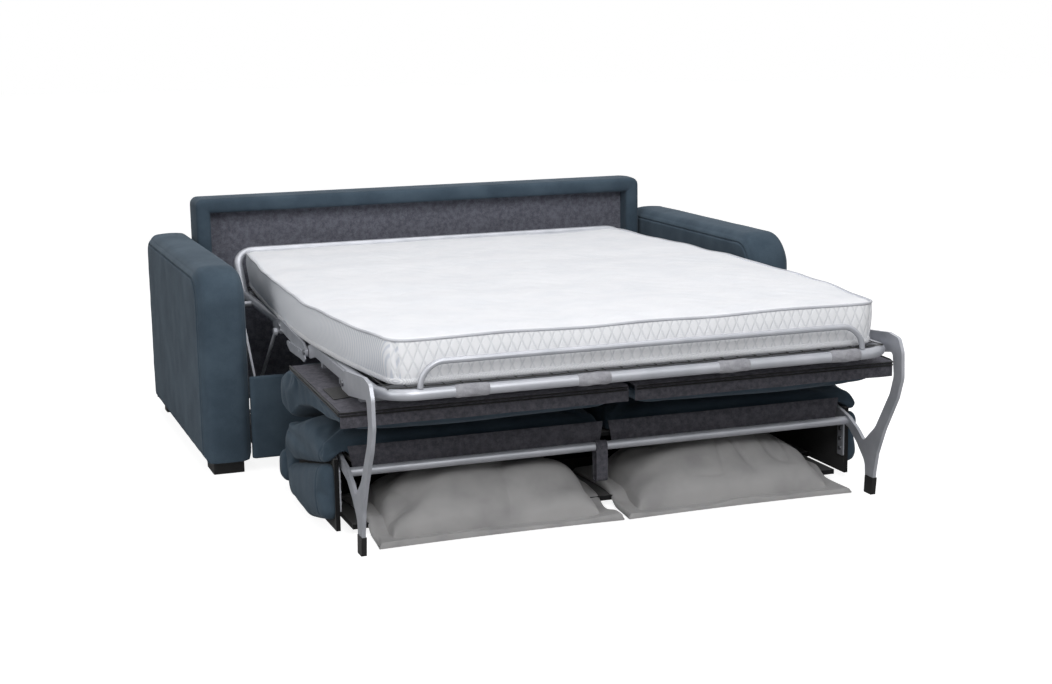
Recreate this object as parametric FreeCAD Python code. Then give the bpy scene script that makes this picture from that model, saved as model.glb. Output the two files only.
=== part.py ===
import FreeCAD, Part
import math
import os

# Tip-over sleeper sofa, modelled with the bed open. Millimetres, X across, Y from the
# foot of the bed to the back of the sofa, Z up. The origin is on the floor, under the
# middle of the open sofa. Side profiles are (y, z) pairs, seen from the right.

V = FreeCAD.Vector

# Overall
rear_face = 1088.0
fit_gap = 0.3
hinge_gap = 2.0

# Widths that the rest follows: the bed frame's tube and the room beside it
tube_radius = 15.0
frame_half = 731.5
arm_room = 127.0
arm_inner = frame_half + arm_room

# Arms
arm_width = 150.0
arm_front = 32.0
arm_bottom = 40.0
arm_top = 634.0
arm_front_radius = 105.0
arm_rear_radius = 55.0
arm_edge_radius = 26.0
arm_bottom_radius = 8.0
foot_height = 40.0
foot_corner = 4.0
foot_length = 120.0
rear_foot_length = 60.0
foot_width = 96.0
foot_inset = 24.0

# Fixed back
back_top = 763.5
back_half_width = arm_inner - 11.5
back_front = 951.5
back_border = 50.0
back_corner_radius = 26.0
back_edge_radius = 9.0
lining_front = 1014.0
lining_thickness = 4.0
back_panel_bottom = 40.0

# Base between the arms
rail_front = 38.0
rail_thickness = 17.0
rail_top = 302.0
rail_bottom = 42.0
rail_edge_radius = 7.0
side_rail_height = 60.0
side_rail_bottom = 90.0
side_rail_wall = 3.0
side_rail_flange = 28.0
cross_rail_size = 18.0
cross_rail_wall = 15.0
cross_rail_z = 40.0

# Mattress
mattress_half = frame_half - 31.5
mattress_waist = frame_half + 20.0
mattress_waist_radius = 8000.0
mattress_waist_y = -260.0
mattress_foot_end = -1038.0
mattress_head_end = 846.0
mattress_thickness = 124.0
mattress_corner = 60.0
mattress_edge = 16.0
head_split = 60.0
foot_split = -362.0
split_gap = 0.6

# Bed frame
lower_tube_radius = 12.5
frame_z = 450.0
foot_tube_y = -1073.0
foot_corner_radius = 90.0
head_tube_y = 863.0
head_loop_height = 134.0
head_loop_radius = 60.0
head_loop_length = 120.0
head_rise_bend = 90.0
head_cross_places = (52.0, 400.0, 715.0)
head_net_end = 790.0
foot_cross_places = (-386.0, -700.0)
middle_cross_inset = 24.0
net_inset = 4.0
head_frame_front = 22.0
foot_frame_rear = -362.0
middle_front = -306.0
middle_rear = -14.0
net_thickness = 3.0
net_rib = 7.0
net_pitch = 105.0
mattress_bottom = frame_z + tube_radius + net_thickness + 2.0 * fit_gap

# Hinge plates
hinge_head = (3.0, 462.0)
hinge_foot = (-332.0, 438.0)
plate_thickness = 8.0
plate_inner = frame_half + tube_radius + 0.5
plate_outer = plate_inner + plate_thickness + hinge_gap
rivet_end = 1.5
plate_height = 27.0
pivot_radius = 5.0
bolt_head_radius = 9.0
bolt_head_height = 4.0
leg_thickness = 10.0
leg_bolt = (-789.0, 436.0)
control_rear = -112.0
control_front = -356.0
control_low = 411.0
control_high = 441.0
control_thickness = 4.0
control_rivets = (-150.0, -270.0)
control_rivet_radius = 6.0

# Legs
leg_width = 36.0
cap_height = 52.0
cap_wall = 2.0
foot_point = (-918.0, 0.0)
lower_tube = (-784.0, 190.0)
back_pivot = (-680.0, 218.0)

# Lift linkage
lift_length = 430.0
lift_start = 46.43
lift_pins = (540.0, 760.0)
lift_width = 26.0
lift_thickness = 7.0
lift_planes = (plate_outer + 26.0, plate_outer + 39.0)
rod_radius = 5.4
rod_eye = 12.0
rod_pin = (22.0, 441.0)
rod_slope = 37.5
rod_length = 470.0
rod_plane = plate_outer + 18.0
rivet_head_height = 2.0

# Retaining bar
bar_radius = 8.0
bar_half = frame_half - 95.5
bar_top = 531.0
bar_corner = 65.0

# Wraps on the foot tube
wrap_length = 92.0
wrap_thickness = 1.6
wrap_places = (231.5 - frame_half, -165.0, 240.0, frame_half - 151.5)

# Seat cushions
seat_nose_points = ((-146.0, 246.0), (-152.0, 346.0), (-230.0, 384.0))
seat_foot_point = (-940.0, 344.0)
seat_under_points = ((-713.0, 316.0), (-518.0, 304.0), (-390.0, 278.0), (-275.0, 234.0))
seat_radii = (34, 40, 60, 0, 0, 30, 200, 160, 110, 60)
back_foot_y = -745.0
back_foot_point = (-747.0, 272.0)
back_top_points = ((-600.0, 283.0), (-500.0, 279.0), (-392.0, 250.0), (-292.0, 224.0))
back_roll_heights = (146.0, 52.0)
back_roll_lean = 12.0
back_radii = (0, 36, 200, 160, 100, 60, 60, 8, 0, 0)
seat_half = arm_inner - 38.5
seat_rear = -936.0
seat_knee = -372.0
seat_base_rear = 383.0
seat_base_nose = 401.0
bearer_width = 24.0
seat_middle_gap = 4.0
seat_board_thickness = 8.0
seat_draw_in = 9.0
seat_crown = 16.0
seat_board_inset = 10.0
seat_bearer_places = (-430.0, -640.0, -850.0)

# Backrest with pillow compartment
cushion_half = arm_inner - 36.5
pad_thickness = 34.0
box_half = cushion_half - pad_thickness
box_front = -747.0
box_rear = -300.0
roll_front = -228.0
box_bottom = 18.0
box_top = 218.0
box_floor = 14.0
box_lid = 10.0
box_side = 12.0
slot_inner = plate_outer - 15.0
slot_outer = box_half - box_side
slot_length = 215.0
relief_rear = back_pivot[0] + 20.0
relief_top = back_pivot[1] + 18.0
back_draw_in = 10.0
back_crown = 7.0
pad_top = 206.0
pad_top_rear = 104.0
pad_bottom_front = 52.0
pad_rear = box_rear - 4.0
lobe_gap = 2.0
bracket_thickness = 4.0
bracket_width = 34.0
bracket_low = 70.0
bracket_bolt_places = (92.0, 122.0, 152.0)
bracket_bolt_radius = 6.0

# Pillows
pillow_slide = 150.0
pillow_front = -905.0
pillow_rear = -430.0
pillow_inner = 6.0
pillow_outer = slot_inner - 30.0
pillow_floor = 2.0
pillow_top = 172.0
flange_thickness = 7.0
flange_width = 42.0

# Pull strap
strap_width = 34.0
strap_thickness = 3.0
strap_x = -30.0
strap_drop = 88.0

os.makedirs("parts", exist_ok=True)
made = []


def save(name, *solids):
    """Write one node. Several solids stay separate in one compound."""
    shape = solids[0] if len(solids) == 1 else Part.makeCompound(list(solids))
    shape.exportStep("parts/" + name + ".step")
    made.append((name, shape))


def mirrored(shape):
    """The same piece on the other side of the middle."""
    return shape.mirror(V(0, 0, 0), V(1, 0, 0))


def box(x0, x1, y0, y1, z0, z1):
    return Part.makeBox(x1 - x0, y1 - y0, z1 - z0, V(x0, y0, z0))


def rod(start, end, radius):
    """Round bar from one point to another."""
    a, b = V(*start), V(*end)
    return Part.makeCylinder(radius, (b - a).Length, a, b - a)


def corner_arc(before, corner, after, radius):
    """Tangent points and middle of the arc that rounds one corner."""
    u = (before - corner).normalize()
    w = (after - corner).normalize()
    half = u.getAngle(w) / 2.0
    reach = radius / math.tan(half)
    bisector = (u + w).normalize()
    middle = corner + bisector * (radius / math.sin(half) - radius)
    return corner + u * reach, middle, corner + w * reach


def rounded_wire(points, radii, closed=True):
    """Straight runs joined by tangent arcs; a radius of 0 keeps a sharp corner."""
    count = len(points)
    joints = []
    for i, point in enumerate(points):
        ends = not closed and i in (0, count - 1)
        if radii[i] > 0 and not ends:
            joints.append(corner_arc(points[i - 1], point, points[(i + 1) % count], radii[i]))
        else:
            joints.append((point, None, point))
    edges = []
    for i, (enter, middle, leave) in enumerate(joints):
        if middle is not None:
            edges.append(Part.Arc(enter, middle, leave).toShape())
        if i + 1 < count or closed:
            following = joints[(i + 1) % count][0]
            if (following - leave).Length > 1e-6:
                edges.append(Part.LineSegment(leave, following).toShape())
    return Part.Wire(edges)


def side_wire(profile, x, radii):
    """Closed wire of (y, z) points in the plane at x."""
    if not isinstance(radii, (list, tuple)):
        radii = [radii] * len(profile)
    return rounded_wire([V(x, y, z) for y, z in profile], radii)


def side_plate(profile, x0, x1, radii=0.0):
    """Flat piece cut to a (y, z) profile, between two planes."""
    return Part.Face(side_wire(profile, x0, radii)).extrude(V(x1 - x0, 0, 0))


def bent_tube(points, bend, radius, wall=0.0):
    """Tube along straight runs and tangent bends."""
    vectors = [V(*p) for p in points]
    bends = bend if isinstance(bend, (list, tuple)) else [bend] * len(points)
    path = rounded_wire(vectors, bends, closed=False)
    heading = vectors[1] - vectors[0]

    def swept(r):
        ring = Part.Wire(Part.makeCircle(r, vectors[0], heading))
        return path.makePipeShell([ring], True, False)
    tube = swept(radius)
    return tube.cut(swept(radius - wall)) if wall else tube


def loft(wires):
    """Soft body through closed sections, each stretch ruled to the next."""
    return Part.makeLoft(wires, True, True)


def soft_stations(draw, crown, places=(0.0, 0.012, 0.04, 0.12, 0.28, 0.5)):
    """Stations across a cushion: the edge draws in quickly and the crown rises slowly."""
    half = []
    for t in places:
        edge = max(0.0, 1.0 - t / 0.04)
        half.append((t, draw * edge ** 2, crown * math.sin(math.pi * t) ** 0.5))
    return half + [(1.0 - t, d, c) for t, d, c in reversed(half[:-1])]


def edges_between(shape, test):
    """Edges whose middle passes a test, for a fillet."""
    return [e for e in shape.Edges if test(e.CenterOfMass)]


def lug(pin, x0, x1, radius):
    """Round eye of a hinge plate."""
    return rod((x0, pin[0], pin[1]), (x1, pin[0], pin[1]), radius)


def strip_profile(a, b, width):
    """Corners of a straight bar of the given width between two (y, z) points."""
    dy, dz = b[0] - a[0], b[1] - a[1]
    length = math.hypot(dy, dz)
    ny, nz = -dz / length * width / 2.0, dy / length * width / 2.0
    return [(a[0] + ny, a[1] + nz), (a[0] - ny, a[1] - nz), (b[0] - ny, b[1] - nz), (b[0] + ny, b[1] + nz)]


def make_arm():
    """Upholstered arm with a large rounded front corner and soft edges."""
    outline = [(arm_front, arm_bottom), (arm_front, arm_top), (rear_face, arm_top), (rear_face, arm_bottom)]
    radii = [arm_bottom_radius, arm_front_radius, arm_rear_radius, arm_bottom_radius]
    body = side_plate(outline, arm_inner, arm_inner + arm_width, radii)
    rim = edges_between(body, lambda c: c.z > arm_bottom + 1.0 and (
        abs(c.x - arm_inner) < 0.1 or abs(c.x - arm_inner - arm_width) < 0.1))
    body = body.makeFillet(arm_edge_radius, rim)
    return body


def make_arm_feet():
    """Four block feet under the arms."""
    feet = []
    x0 = arm_inner + foot_inset
    for side in (-1, 1):
        for y0, length in ((arm_front + foot_inset, foot_length),
                           (rear_face - foot_inset - rear_foot_length, rear_foot_length)):
            foot = box(x0, x0 + foot_width, y0, y0 + length, 0.0, foot_height)
            upright = edges_between(foot, lambda c: abs(c.z - foot_height / 2.0) < 1.0)
            foot = foot.makeFillet(foot_corner, upright)
            feet.append(foot if side > 0 else mirrored(foot))
    return feet


def make_back_frame():
    """Upholstered surround of the fixed back, open below, with its inner rebate."""
    half = back_half_width
    inner = half - back_border
    top = back_top - back_border
    points = [(-half, back_panel_bottom), (-half, back_top), (half, back_top), (half, back_panel_bottom),
              (inner, back_panel_bottom), (inner, top), (-inner, top), (-inner, back_panel_bottom)]
    radii = [0, back_corner_radius, back_corner_radius, 0, 0, 0, 0, 0]
    wire = rounded_wire([V(x, back_front, z) for x, z in points], radii)
    frame = Part.Face(wire).extrude(V(0, rear_face - back_front, 0))
    rim = edges_between(frame, lambda c: c.z > back_panel_bottom + 1.0 and abs(c.y - back_front) < 0.1)
    return frame.makeFillet(back_edge_radius, rim)


def make_back_panel():
    """Board that closes the back behind the lining."""
    inner = back_half_width - back_border - fit_gap
    top = back_top - back_border - fit_gap
    front = lining_front + lining_thickness
    return box(-inner, inner, front, rear_face, back_panel_bottom, top)


def make_lining():
    """Felt over the board, turned forward a little along the surround."""
    inner = back_half_width - back_border - fit_gap
    top = back_top - back_border - fit_gap
    rear = lining_front + lining_thickness - fit_gap
    return box(-inner, inner, lining_front, rear, back_panel_bottom, top)


def make_front_rail():
    """Upholstered rail between the arms with softened edges."""
    half = arm_inner - fit_gap
    rail = box(-half, half, rail_front, rail_front + rail_thickness, rail_bottom, rail_top)
    long_edges = edges_between(rail, lambda c: abs(c.x) < 1.0)
    return rail.makeFillet(rail_edge_radius, long_edges)


def make_side_rail():
    """Steel channel on the inner face of an arm that carries the lift links."""
    outer = arm_inner - fit_gap
    y0 = rail_front + rail_thickness + fit_gap
    y1 = back_front - fit_gap
    z0 = side_rail_bottom
    z1 = side_rail_bottom + side_rail_height
    web = box(outer - side_rail_wall, outer, y0, y1, z0, z1)
    for z in (z0, z1 - side_rail_wall):
        web = web.fuse(box(outer - side_rail_flange, outer, y0, y1, z, z + side_rail_wall))
    for pin, plane in zip(lift_pins, lift_planes):
        py, pz = base_pin(pin)
        ear_inner = ear_plane(plane)
        ear = side_plate([(py - 24, z0 + 2), (py - 24, pz + 14), (py + 24, pz + 14), (py + 24, z0 + 2)],
                         ear_inner, ear_inner + side_rail_wall * 2, [0, 12, 12, 0])
        shelf = box(ear_inner, outer, py - 24, py + 24, z1 - side_rail_wall, z1)
        web = web.fuse(ear).fuse(shelf)
    return web.removeSplitter()


def base_pin(pin_y):
    """Lower pin of a lift link, from its upper pin on the head frame."""
    turn = math.radians(lift_start)
    return pin_y - lift_length * math.cos(turn), frame_z - lift_length * math.sin(turn)


def ear_plane(plane):
    """Inner face of the ear beside a lift link."""
    return plane + lift_thickness + hinge_gap


def make_cross_rail():
    """Flat bar across the back of the base, low enough for the folded bed to pass."""
    half = arm_inner - fit_gap
    z0 = cross_rail_z
    y1 = back_front - fit_gap
    return box(-half, half, y1 - cross_rail_wall, y1, z0, z0 + cross_rail_size)


def make_lift_link(pin_y, plane):
    """Flat lift link with round eyes, from the base to the head frame."""
    x0, x1 = plane, plane + lift_thickness
    low = base_pin(pin_y)
    high = (pin_y, frame_z)
    bar = side_plate(strip_profile(low, high, lift_width), x0, x1)
    for pin in (low, high):
        bar = bar.fuse(lug(pin, x0, x1, lift_width / 2.0))
    for pin in (low, high):
        bar = bar.cut(lug(pin, x0 - 1, x1 + 1, pivot_radius + fit_gap))
    return bar.removeSplitter()


def make_base_pins():
    """Pins of the lift links on the side rails."""
    pins = []
    for pin_y, plane in zip(lift_pins, lift_planes):
        y, z = base_pin(pin_y)
        pin = rod((plane - rivet_head_height, y, z), (ear_plane(plane) - fit_gap, y, z), pivot_radius)
        head = rod((plane - fit_gap - rivet_head_height, y, z), (plane - fit_gap, y, z), bolt_head_radius)
        pin = pin.fuse(head)
        pins += [pin, mirrored(pin)]
    return pins


def make_head_frame():
    """Head section tube with the raised loop behind the pillow end."""
    z = frame_z
    high = z + head_loop_height
    y0, y1 = head_frame_front, head_tube_y
    low = y1 - head_loop_length
    path = [(-frame_half, y0, z), (-frame_half, low, z), (-frame_half, y1, high),
            (frame_half, y1, high), (frame_half, low, z), (frame_half, y0, z)]
    bends = [0, head_rise_bend, head_loop_radius, head_loop_radius, head_rise_bend, 0]
    loop = bent_tube(path, bends, tube_radius)
    return loop


def make_head_cross():
    """Cross tubes of the head section."""
    inner = frame_half - tube_radius - fit_gap
    bars = []
    for y in head_cross_places:
        bars.append(rod((-inner, y, frame_z), (inner, y, frame_z), tube_radius))
    return bars


def make_head_plate():
    """Hinge plate of the head section, carrying the lift links and the stay rod."""
    x0, x1 = plate_inner, plate_inner + plate_thickness
    hy, hz = hinge_head
    profile = [(hy - 13, hz - 12), (hy - 13, hz + 12), (hy + 60, hz + 12), (hy + 150, frame_z + 10),
               (hy + 150, frame_z - 12), (hy + 40, frame_z - 22)]
    plate = side_plate(profile, x0, x1, [11, 11, 20, 6, 6, 14])
    plate = plate.cut(lug(hinge_head, x0 - 1, x1 + 1, pivot_radius + fit_gap))
    return plate


def make_lift_brackets():
    """Angle pieces from the head frame out to the upper pins of the lift links."""
    pieces = []
    inner = frame_half + tube_radius + fit_gap
    for y, plane in zip(lift_pins, lift_planes):
        outer = plane + lift_thickness + fit_gap
        boss = rod((inner, y, frame_z), (plane - fit_gap, y, frame_z), bolt_head_radius)
        pin = rod((plane - 1, y, frame_z), (outer + 1, y, frame_z), pivot_radius)
        cap = rod((outer, y, frame_z), (outer + bolt_head_height, y, frame_z), bolt_head_radius)
        piece = boss.fuse(pin).fuse(cap)
        pieces += [piece, mirrored(piece)]
    return pieces


def make_net(y0, y1):
    """Welded net that carries the mattress, as one sheet with rows of openings."""
    half = frame_half - tube_radius - 1.0
    z0 = frame_z + tube_radius + fit_gap
    sheet = box(-half, half, y0, y1, z0, z0 + net_thickness)
    columns = int(2 * half // net_pitch)
    rows = max(1, int((y1 - y0) // net_pitch))
    step_x = (2 * half - net_rib) / columns
    step_y = (y1 - y0 - net_rib) / rows
    holes = []
    for i in range(columns):
        for j in range(rows):
            x = -half + net_rib + i * step_x
            y = y0 + net_rib + j * step_y
            hole = box(x, x + step_x - net_rib, y, y + step_y - net_rib, z0 - 1, z0 + net_thickness + 1)
            holes.append(hole)
    return sheet.cut(Part.makeCompound(holes))


def make_mattress(y0, y1):
    """One stretch of the mattress with its soft edges, rounded ends and fuller waist."""
    z0, z1 = mattress_bottom, mattress_bottom + mattress_thickness
    half, waist = mattress_half, mattress_waist
    front, rear = mattress_foot_end, mattress_head_end
    corners = [(-half, front), (half, front), (waist, mattress_waist_y), (half, rear), (-half, rear),
               (-waist, mattress_waist_y)]
    r = mattress_corner
    radii = [r, r, mattress_waist_radius, r, r, mattress_waist_radius]
    outline = rounded_wire([V(x, y, z0) for x, y in corners], radii)
    block = Part.Face(outline).extrude(V(0, 0, z1 - z0))
    rim = edges_between(block, lambda c: abs(c.z - z0) < 0.1 or abs(c.z - z1) < 0.1)
    block = block.makeFillet(mattress_edge, rim)
    return block.common(box(-waist - 1, waist + 1, y0, y1, z0 - 1, z1 + 1))


def make_middle_plate():
    """Hinge plate of the middle section."""
    x0, x1 = plate_outer, plate_outer + plate_thickness
    (ay, az), (by, bz) = hinge_foot, hinge_head
    h = plate_height / 2.0
    profile = [(ay - 13, az - 13), (ay - 13, az + 10), (ay + 22, az + h + 12), (by - 30, bz + h + 8),
               (by + 13, bz + 10), (by + 13, bz - 13), (by - 26, bz - h + 2), (ay + 26, az - h)]
    plate = side_plate(profile, x0, x1, [11, 8, 16, 16, 8, 11, 10, 10])
    for pin in (hinge_foot, hinge_head):
        plate = plate.cut(lug(pin, x0 - 1, x1 + 1, pivot_radius + fit_gap))
    return plate


def make_control_plate():
    """Lower plate beside the middle section, cut away towards the foot hinge."""
    x0 = plate_outer + plate_thickness + fit_gap
    y0, y1 = control_front, control_rear
    low, high = control_low, control_high
    profile = [(y1 - 40, low), (y1, high - 16), (y1, high - 4), (y1 - 188, high), (y0 + 26, high - 4),
               (y0, low + 11), (y0 + 15, low), (y0 + 68, low + 2)]
    plate = side_plate(profile, x0, x0 + control_thickness, [20, 5, 6, 10, 8, 4, 4, 0])
    for y in control_rivets:
        z = high - control_rivet_radius - 3.0
        head = rod((x0, y, z), (x0 + control_thickness + rivet_head_height / 2.0, y, z), control_rivet_radius)
        plate = plate.fuse(head)
    return plate.cut(lug(hinge_foot, x0 - 1, x0 + control_thickness + 1, bolt_head_radius + fit_gap))


def make_middle_bars():
    """Side bars of the middle section between its hinges."""
    bars = []
    inner = frame_half - tube_radius
    for side in (-1, 1):
        bars.append(rod((side * frame_half, middle_front, frame_z), (side * frame_half, middle_rear, frame_z),
                        tube_radius))
    for y in (middle_front + middle_cross_inset, middle_rear - middle_cross_inset):
        bars.append(rod((-inner + fit_gap, y, frame_z), (inner - fit_gap, y, frame_z), tube_radius))
    return bars


def make_foot_frame():
    """Foot section tube with its rounded front corners."""
    z = frame_z
    path = [(-frame_half, foot_frame_rear, z), (-frame_half, foot_tube_y, z),
            (frame_half, foot_tube_y, z), (frame_half, foot_frame_rear, z)]
    return bent_tube(path, foot_corner_radius, tube_radius)


def make_foot_cross():
    """Cross tubes of the foot section."""
    inner = frame_half - tube_radius - fit_gap
    bars = []
    for y in foot_cross_places:
        bars.append(rod((-inner, y, frame_z), (inner, y, frame_z), tube_radius))
    return bars


def make_foot_plate():
    """Long hinge plate of the foot section, from the middle hinge to the leg."""
    x0, x1 = plate_inner, plate_inner + plate_thickness
    ay, az = hinge_foot
    ly, lz = leg_bolt
    profile = [(ay + 13, az - 13), (ay + 13, az + 12), (ay - 40, az + 30), (ay - 78, az + 32),
               (ly + 40, lz + 24), (ly - 16, lz + 14), (ly - 16, lz - 13), (ly + 60, lz - 4),
               (ay - 90, az + 2), (ay - 30, az - 14)]
    plate = side_plate(profile, x0, x1, [11, 10, 10, 10, 18, 12, 12, 10, 14, 8])
    for pin in (hinge_foot, leg_bolt):
        plate = plate.cut(lug(pin, x0 - 1, x1 + 1, pivot_radius + fit_gap))
    return plate


def make_leg():
    """Swan-neck leg plate with its branch back to the lower tube."""
    x0, x1 = plate_outer, plate_outer + leg_thickness
    fy, fz = foot_point
    half = leg_width / 2.0
    sole = cap_wall
    stem = [(fy - half, fz + sole), (fy - half - 10, 70), (fy - 42, 128), (-996, 205), (-1062, 312),
            (-1084, 372), (-1081, 448), (-1062, 484), (-1010, 492), (leg_bolt[0] - 26, 474),
            (leg_bolt[0] + 18, 456), (leg_bolt[0] + 18, 418), (-850, 414), (-990, 432), (-1034, 440),
            (-1043, 372), (-1024, 318), (-950, 205), (fy + 32, 150), (-852, 176), (-800, 204),
            (back_pivot[0] - 12, back_pivot[1] + 14), (back_pivot[0] + 14, back_pivot[1] + 12),
            (back_pivot[0] + 14, back_pivot[1] - 14), (-800, 172), (-848, 138), (fy + 22, 90),
            (fy + half, 40), (fy + half, fz + sole)]
    radii = [0, 40, 60, 120, 60, 40, 34, 18, 16, 20, 16, 14, 30, 30, 12, 40, 60, 60, 13, 14, 18,
             9, 12, 12, 14, 20, 40, 12, 0]
    leg = side_plate(stem, x0, x1, radii)
    for pin in (leg_bolt, back_pivot):
        leg = leg.cut(lug(pin, x0 - 1, x1 + 1, pivot_radius + fit_gap))
    return leg


def make_leg_cap():
    """Plastic shoe on a leg end, hollow where the leg goes in."""
    half = leg_width / 2.0 + cap_wall + fit_gap
    fy = foot_point[0]
    x0 = plate_outer - cap_wall - fit_gap
    x1 = plate_outer + leg_thickness + cap_wall + fit_gap
    outline = [(fy - half, 0.0), (fy - half - 7, cap_height), (fy + half - 4, cap_height), (fy + half, 0.0)]
    shoe = side_plate(outline, x0, x1, [3, 0, 0, 3])
    return shoe


def make_lower_tube():
    """Tube between the legs that the backrest swings round."""
    y, z = lower_tube
    half = plate_outer - fit_gap
    return rod((-half, y, z), (half, y, z), lower_tube_radius)


def make_retaining_bar():
    """Low bar on the foot tube that holds the mattress end."""
    y = foot_tube_y
    z = frame_z + tube_radius + fit_gap
    path = [(-bar_half, y, z), (-bar_half, y, bar_top), (bar_half, y, bar_top), (bar_half, y, z)]
    return bent_tube(path, bar_corner, bar_radius)


def make_wraps():
    """Felt wraps round the foot tube."""
    pieces = []
    y, z = foot_tube_y, frame_z
    inner = tube_radius
    for x in wrap_places:
        start, end = (x - wrap_length / 2.0, y, z), (x + wrap_length / 2.0, y, z)
        pieces.append(rod(start, end, inner + wrap_thickness).cut(rod(start, end, inner)))
    return pieces


def make_hinge_pins():
    """Rivets through the middle hinge plates."""
    pins = []
    for y, z in (hinge_head, hinge_foot):
        x0, x1 = plate_inner, plate_outer + plate_thickness
        pin = rod((x0 - rivet_end, y, z), (x1 + bolt_head_height, y, z), pivot_radius)
        head = rod((x1 + fit_gap, y, z), (x1 + fit_gap + bolt_head_height, y, z), bolt_head_radius)
        pin = pin.fuse(head)
        pins += [pin, mirrored(pin)]
    return pins


def make_leg_bolts():
    """Bolts that hold each leg on its foot plate."""
    y, z = leg_bolt
    x0, x1 = plate_inner, plate_outer + leg_thickness
    bolt = rod((x0 - rivet_end, y, z), (x1 + 1, y, z), pivot_radius)
    bolt = bolt.fuse(rod((x1 + fit_gap, y, z), (x1 + fit_gap + bolt_head_height, y, z), bolt_head_radius))
    return [bolt, mirrored(bolt)]


def seat_section(x, draw, crown):
    """Closed side section of a seat cushion: nose to the rear, crown downwards."""
    d, c = draw, crown
    (tip_y, tip_z), (brow_y, brow_z), (knee_y, knee_z) = seat_nose_points
    points = [(tip_y - d, tip_z + d), (brow_y - d, brow_z - d), (knee_y, knee_z - d),
              (seat_knee, seat_base_nose),
              (seat_rear + d, seat_base(seat_rear + d)),
              (seat_foot_point[0] + d, seat_foot_point[1] - c * 0.6 + d)]
    points += [(y, z - c * share + d) for (y, z), share in zip(seat_under_points, (1.0, 0.3, 0.0, 0.0))]
    return side_wire(points, x, seat_radii)


def make_seat_cushion():
    """Seat cushion, upside down under the open bed, with drawn-in sides and a crown."""
    x0 = seat_middle_gap / 2.0
    x1 = seat_half
    span = x1 - x0
    stations = soft_stations(seat_draw_in, seat_crown)
    return loft([seat_section(x0 + span * t, d, c) for t, d, c in stations])


def seat_base(y):
    """Height at y of the cushion's flat base, which faces up while the bed is open."""
    return seat_base_rear + (y - seat_rear) * (seat_base_nose - seat_base_rear) / (seat_knee - seat_rear)


def make_seat_board():
    """Felt-covered board that carries the cushion."""
    x0 = seat_middle_gap / 2.0 + seat_board_inset
    x1 = seat_half - seat_board_inset
    y0, y1 = seat_rear + 6.0, seat_knee - 6.0
    t = seat_board_thickness
    profile = [(y1, seat_base(y1) + fit_gap), (y0, seat_base(y0) + fit_gap),
               (y0, seat_base(y0) + fit_gap + t), (y1, seat_base(y1) + fit_gap + t)]
    return side_plate(profile, x0, x1)


def make_seat_bearers():
    """Cross bars that hang the seat boards from the foot frame."""
    bars = []
    top = frame_z - tube_radius - fit_gap
    for y in seat_bearer_places:
        low = seat_base(y + bearer_width / 2.0) + 2.0 * fit_gap + seat_board_thickness
        rear, front = y + bearer_width / 2.0, y - bearer_width / 2.0
        bars.append(box(-frame_half - 6.0, frame_half + 6.0, front, rear, low, top))
    return bars


def make_pillow_box():
    """Pillow compartment: a box open at the front, slotted where the legs come in."""
    shell = box(-box_half, box_half, box_front, box_rear, box_bottom, box_top)
    hollow = box(-box_half + box_side, box_half - box_side, box_front - 1, box_rear - box_side,
                 box_bottom + box_floor, box_top - box_lid)
    shell = shell.cut(hollow)
    for side in (-1, 1):
        x0, x1 = sorted((side * slot_inner, side * slot_outer))
        shell = shell.cut(box(x0, x1, box_front - 1, box_front + slot_length, box_bottom - 1,
                              box_bottom + box_floor + 1))
        shell = shell.cut(box(x0, x1, box_front - 1, relief_rear, box_top - box_lid - 1, box_top + 1))
    return shell


def back_section(x, draw, crown):
    """Closed side section of a back cushion lying face up over the compartment."""
    d, c = draw, crown
    low = box_top + fit_gap
    upper, lower = back_roll_heights
    points = [(back_foot_y + d * 0.3, low), (back_foot_point[0] + d * 0.3, back_foot_point[1] + c - d)]
    points += [(y, z + c * swell - d * draw_share) for (y, z), swell, draw_share
               in zip(back_top_points, (1.0, 1.0, 0.5, 0.0), (1.0, 1.0, 1.0, 0.3))]
    points += [(roll_front - d, upper), (roll_front - back_roll_lean - d * 0.3, lower),
               (box_rear + fit_gap, lower), (box_rear + fit_gap, low)]
    return side_wire(points, x, back_radii)


def side_lobe():
    """The cushion's side that hangs over the compartment's side, down to the pad."""
    front, rear = box_front + 3.0, pad_rear
    top = box_top + 20.0
    points = [(front, top), (front, pad_top + lobe_gap), (rear - 30, pad_top_rear + 8 + lobe_gap),
              (rear, pad_top_rear + lobe_gap), (rear, top)]
    radii = [0, 14, 30, 0, 0]
    return side_plate(points, box_half + fit_gap, cushion_half - 3.0, radii)


def make_back_cushion():
    """Back cushion with its front roll turned down over the compartment's end."""
    x0 = seat_middle_gap / 2.0
    x1 = cushion_half
    span = x1 - x0
    stations = soft_stations(back_draw_in, back_crown)
    cushion = loft([back_section(x0 + span * t, d, c) for t, d, c in stations])
    cushion = cushion.cut(box(slot_inner, slot_outer, box_front - 2, relief_rear, box_top, relief_top))
    return cushion.fuse(side_lobe()).removeSplitter()


def make_side_pad():
    """Padded side of the compartment, bulging out, its top sloping down to the inner end."""
    def ring(x, inset):
        i = inset
        front, rear = box_front + 2.0 + i, pad_rear - i
        points = [(front, pad_bottom_front + i), (front, pad_top - i), (rear - 30, pad_top_rear - i + 8),
                  (rear, pad_top_rear - i), (rear, box_bottom + i), (front + 190, box_bottom - 8 + i)]
        return side_wire(points, x, [30, 22, 40, 12, 40, 120])
    x0 = box_half + fit_gap
    depth = pad_thickness - fit_gap
    return loft([ring(x0, 0.0), ring(x0 + depth * 0.5, 1.0), ring(x0 + depth * 0.8, 4.0),
                 ring(x0 + depth, 14.0)])


def roll_face(z):
    """Where the headrest roll meets the sloping end of the back cushions."""
    upper, lower = back_roll_heights
    return roll_front + fit_gap * 1.2 - back_roll_lean * (upper - z) / (upper - lower)


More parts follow.
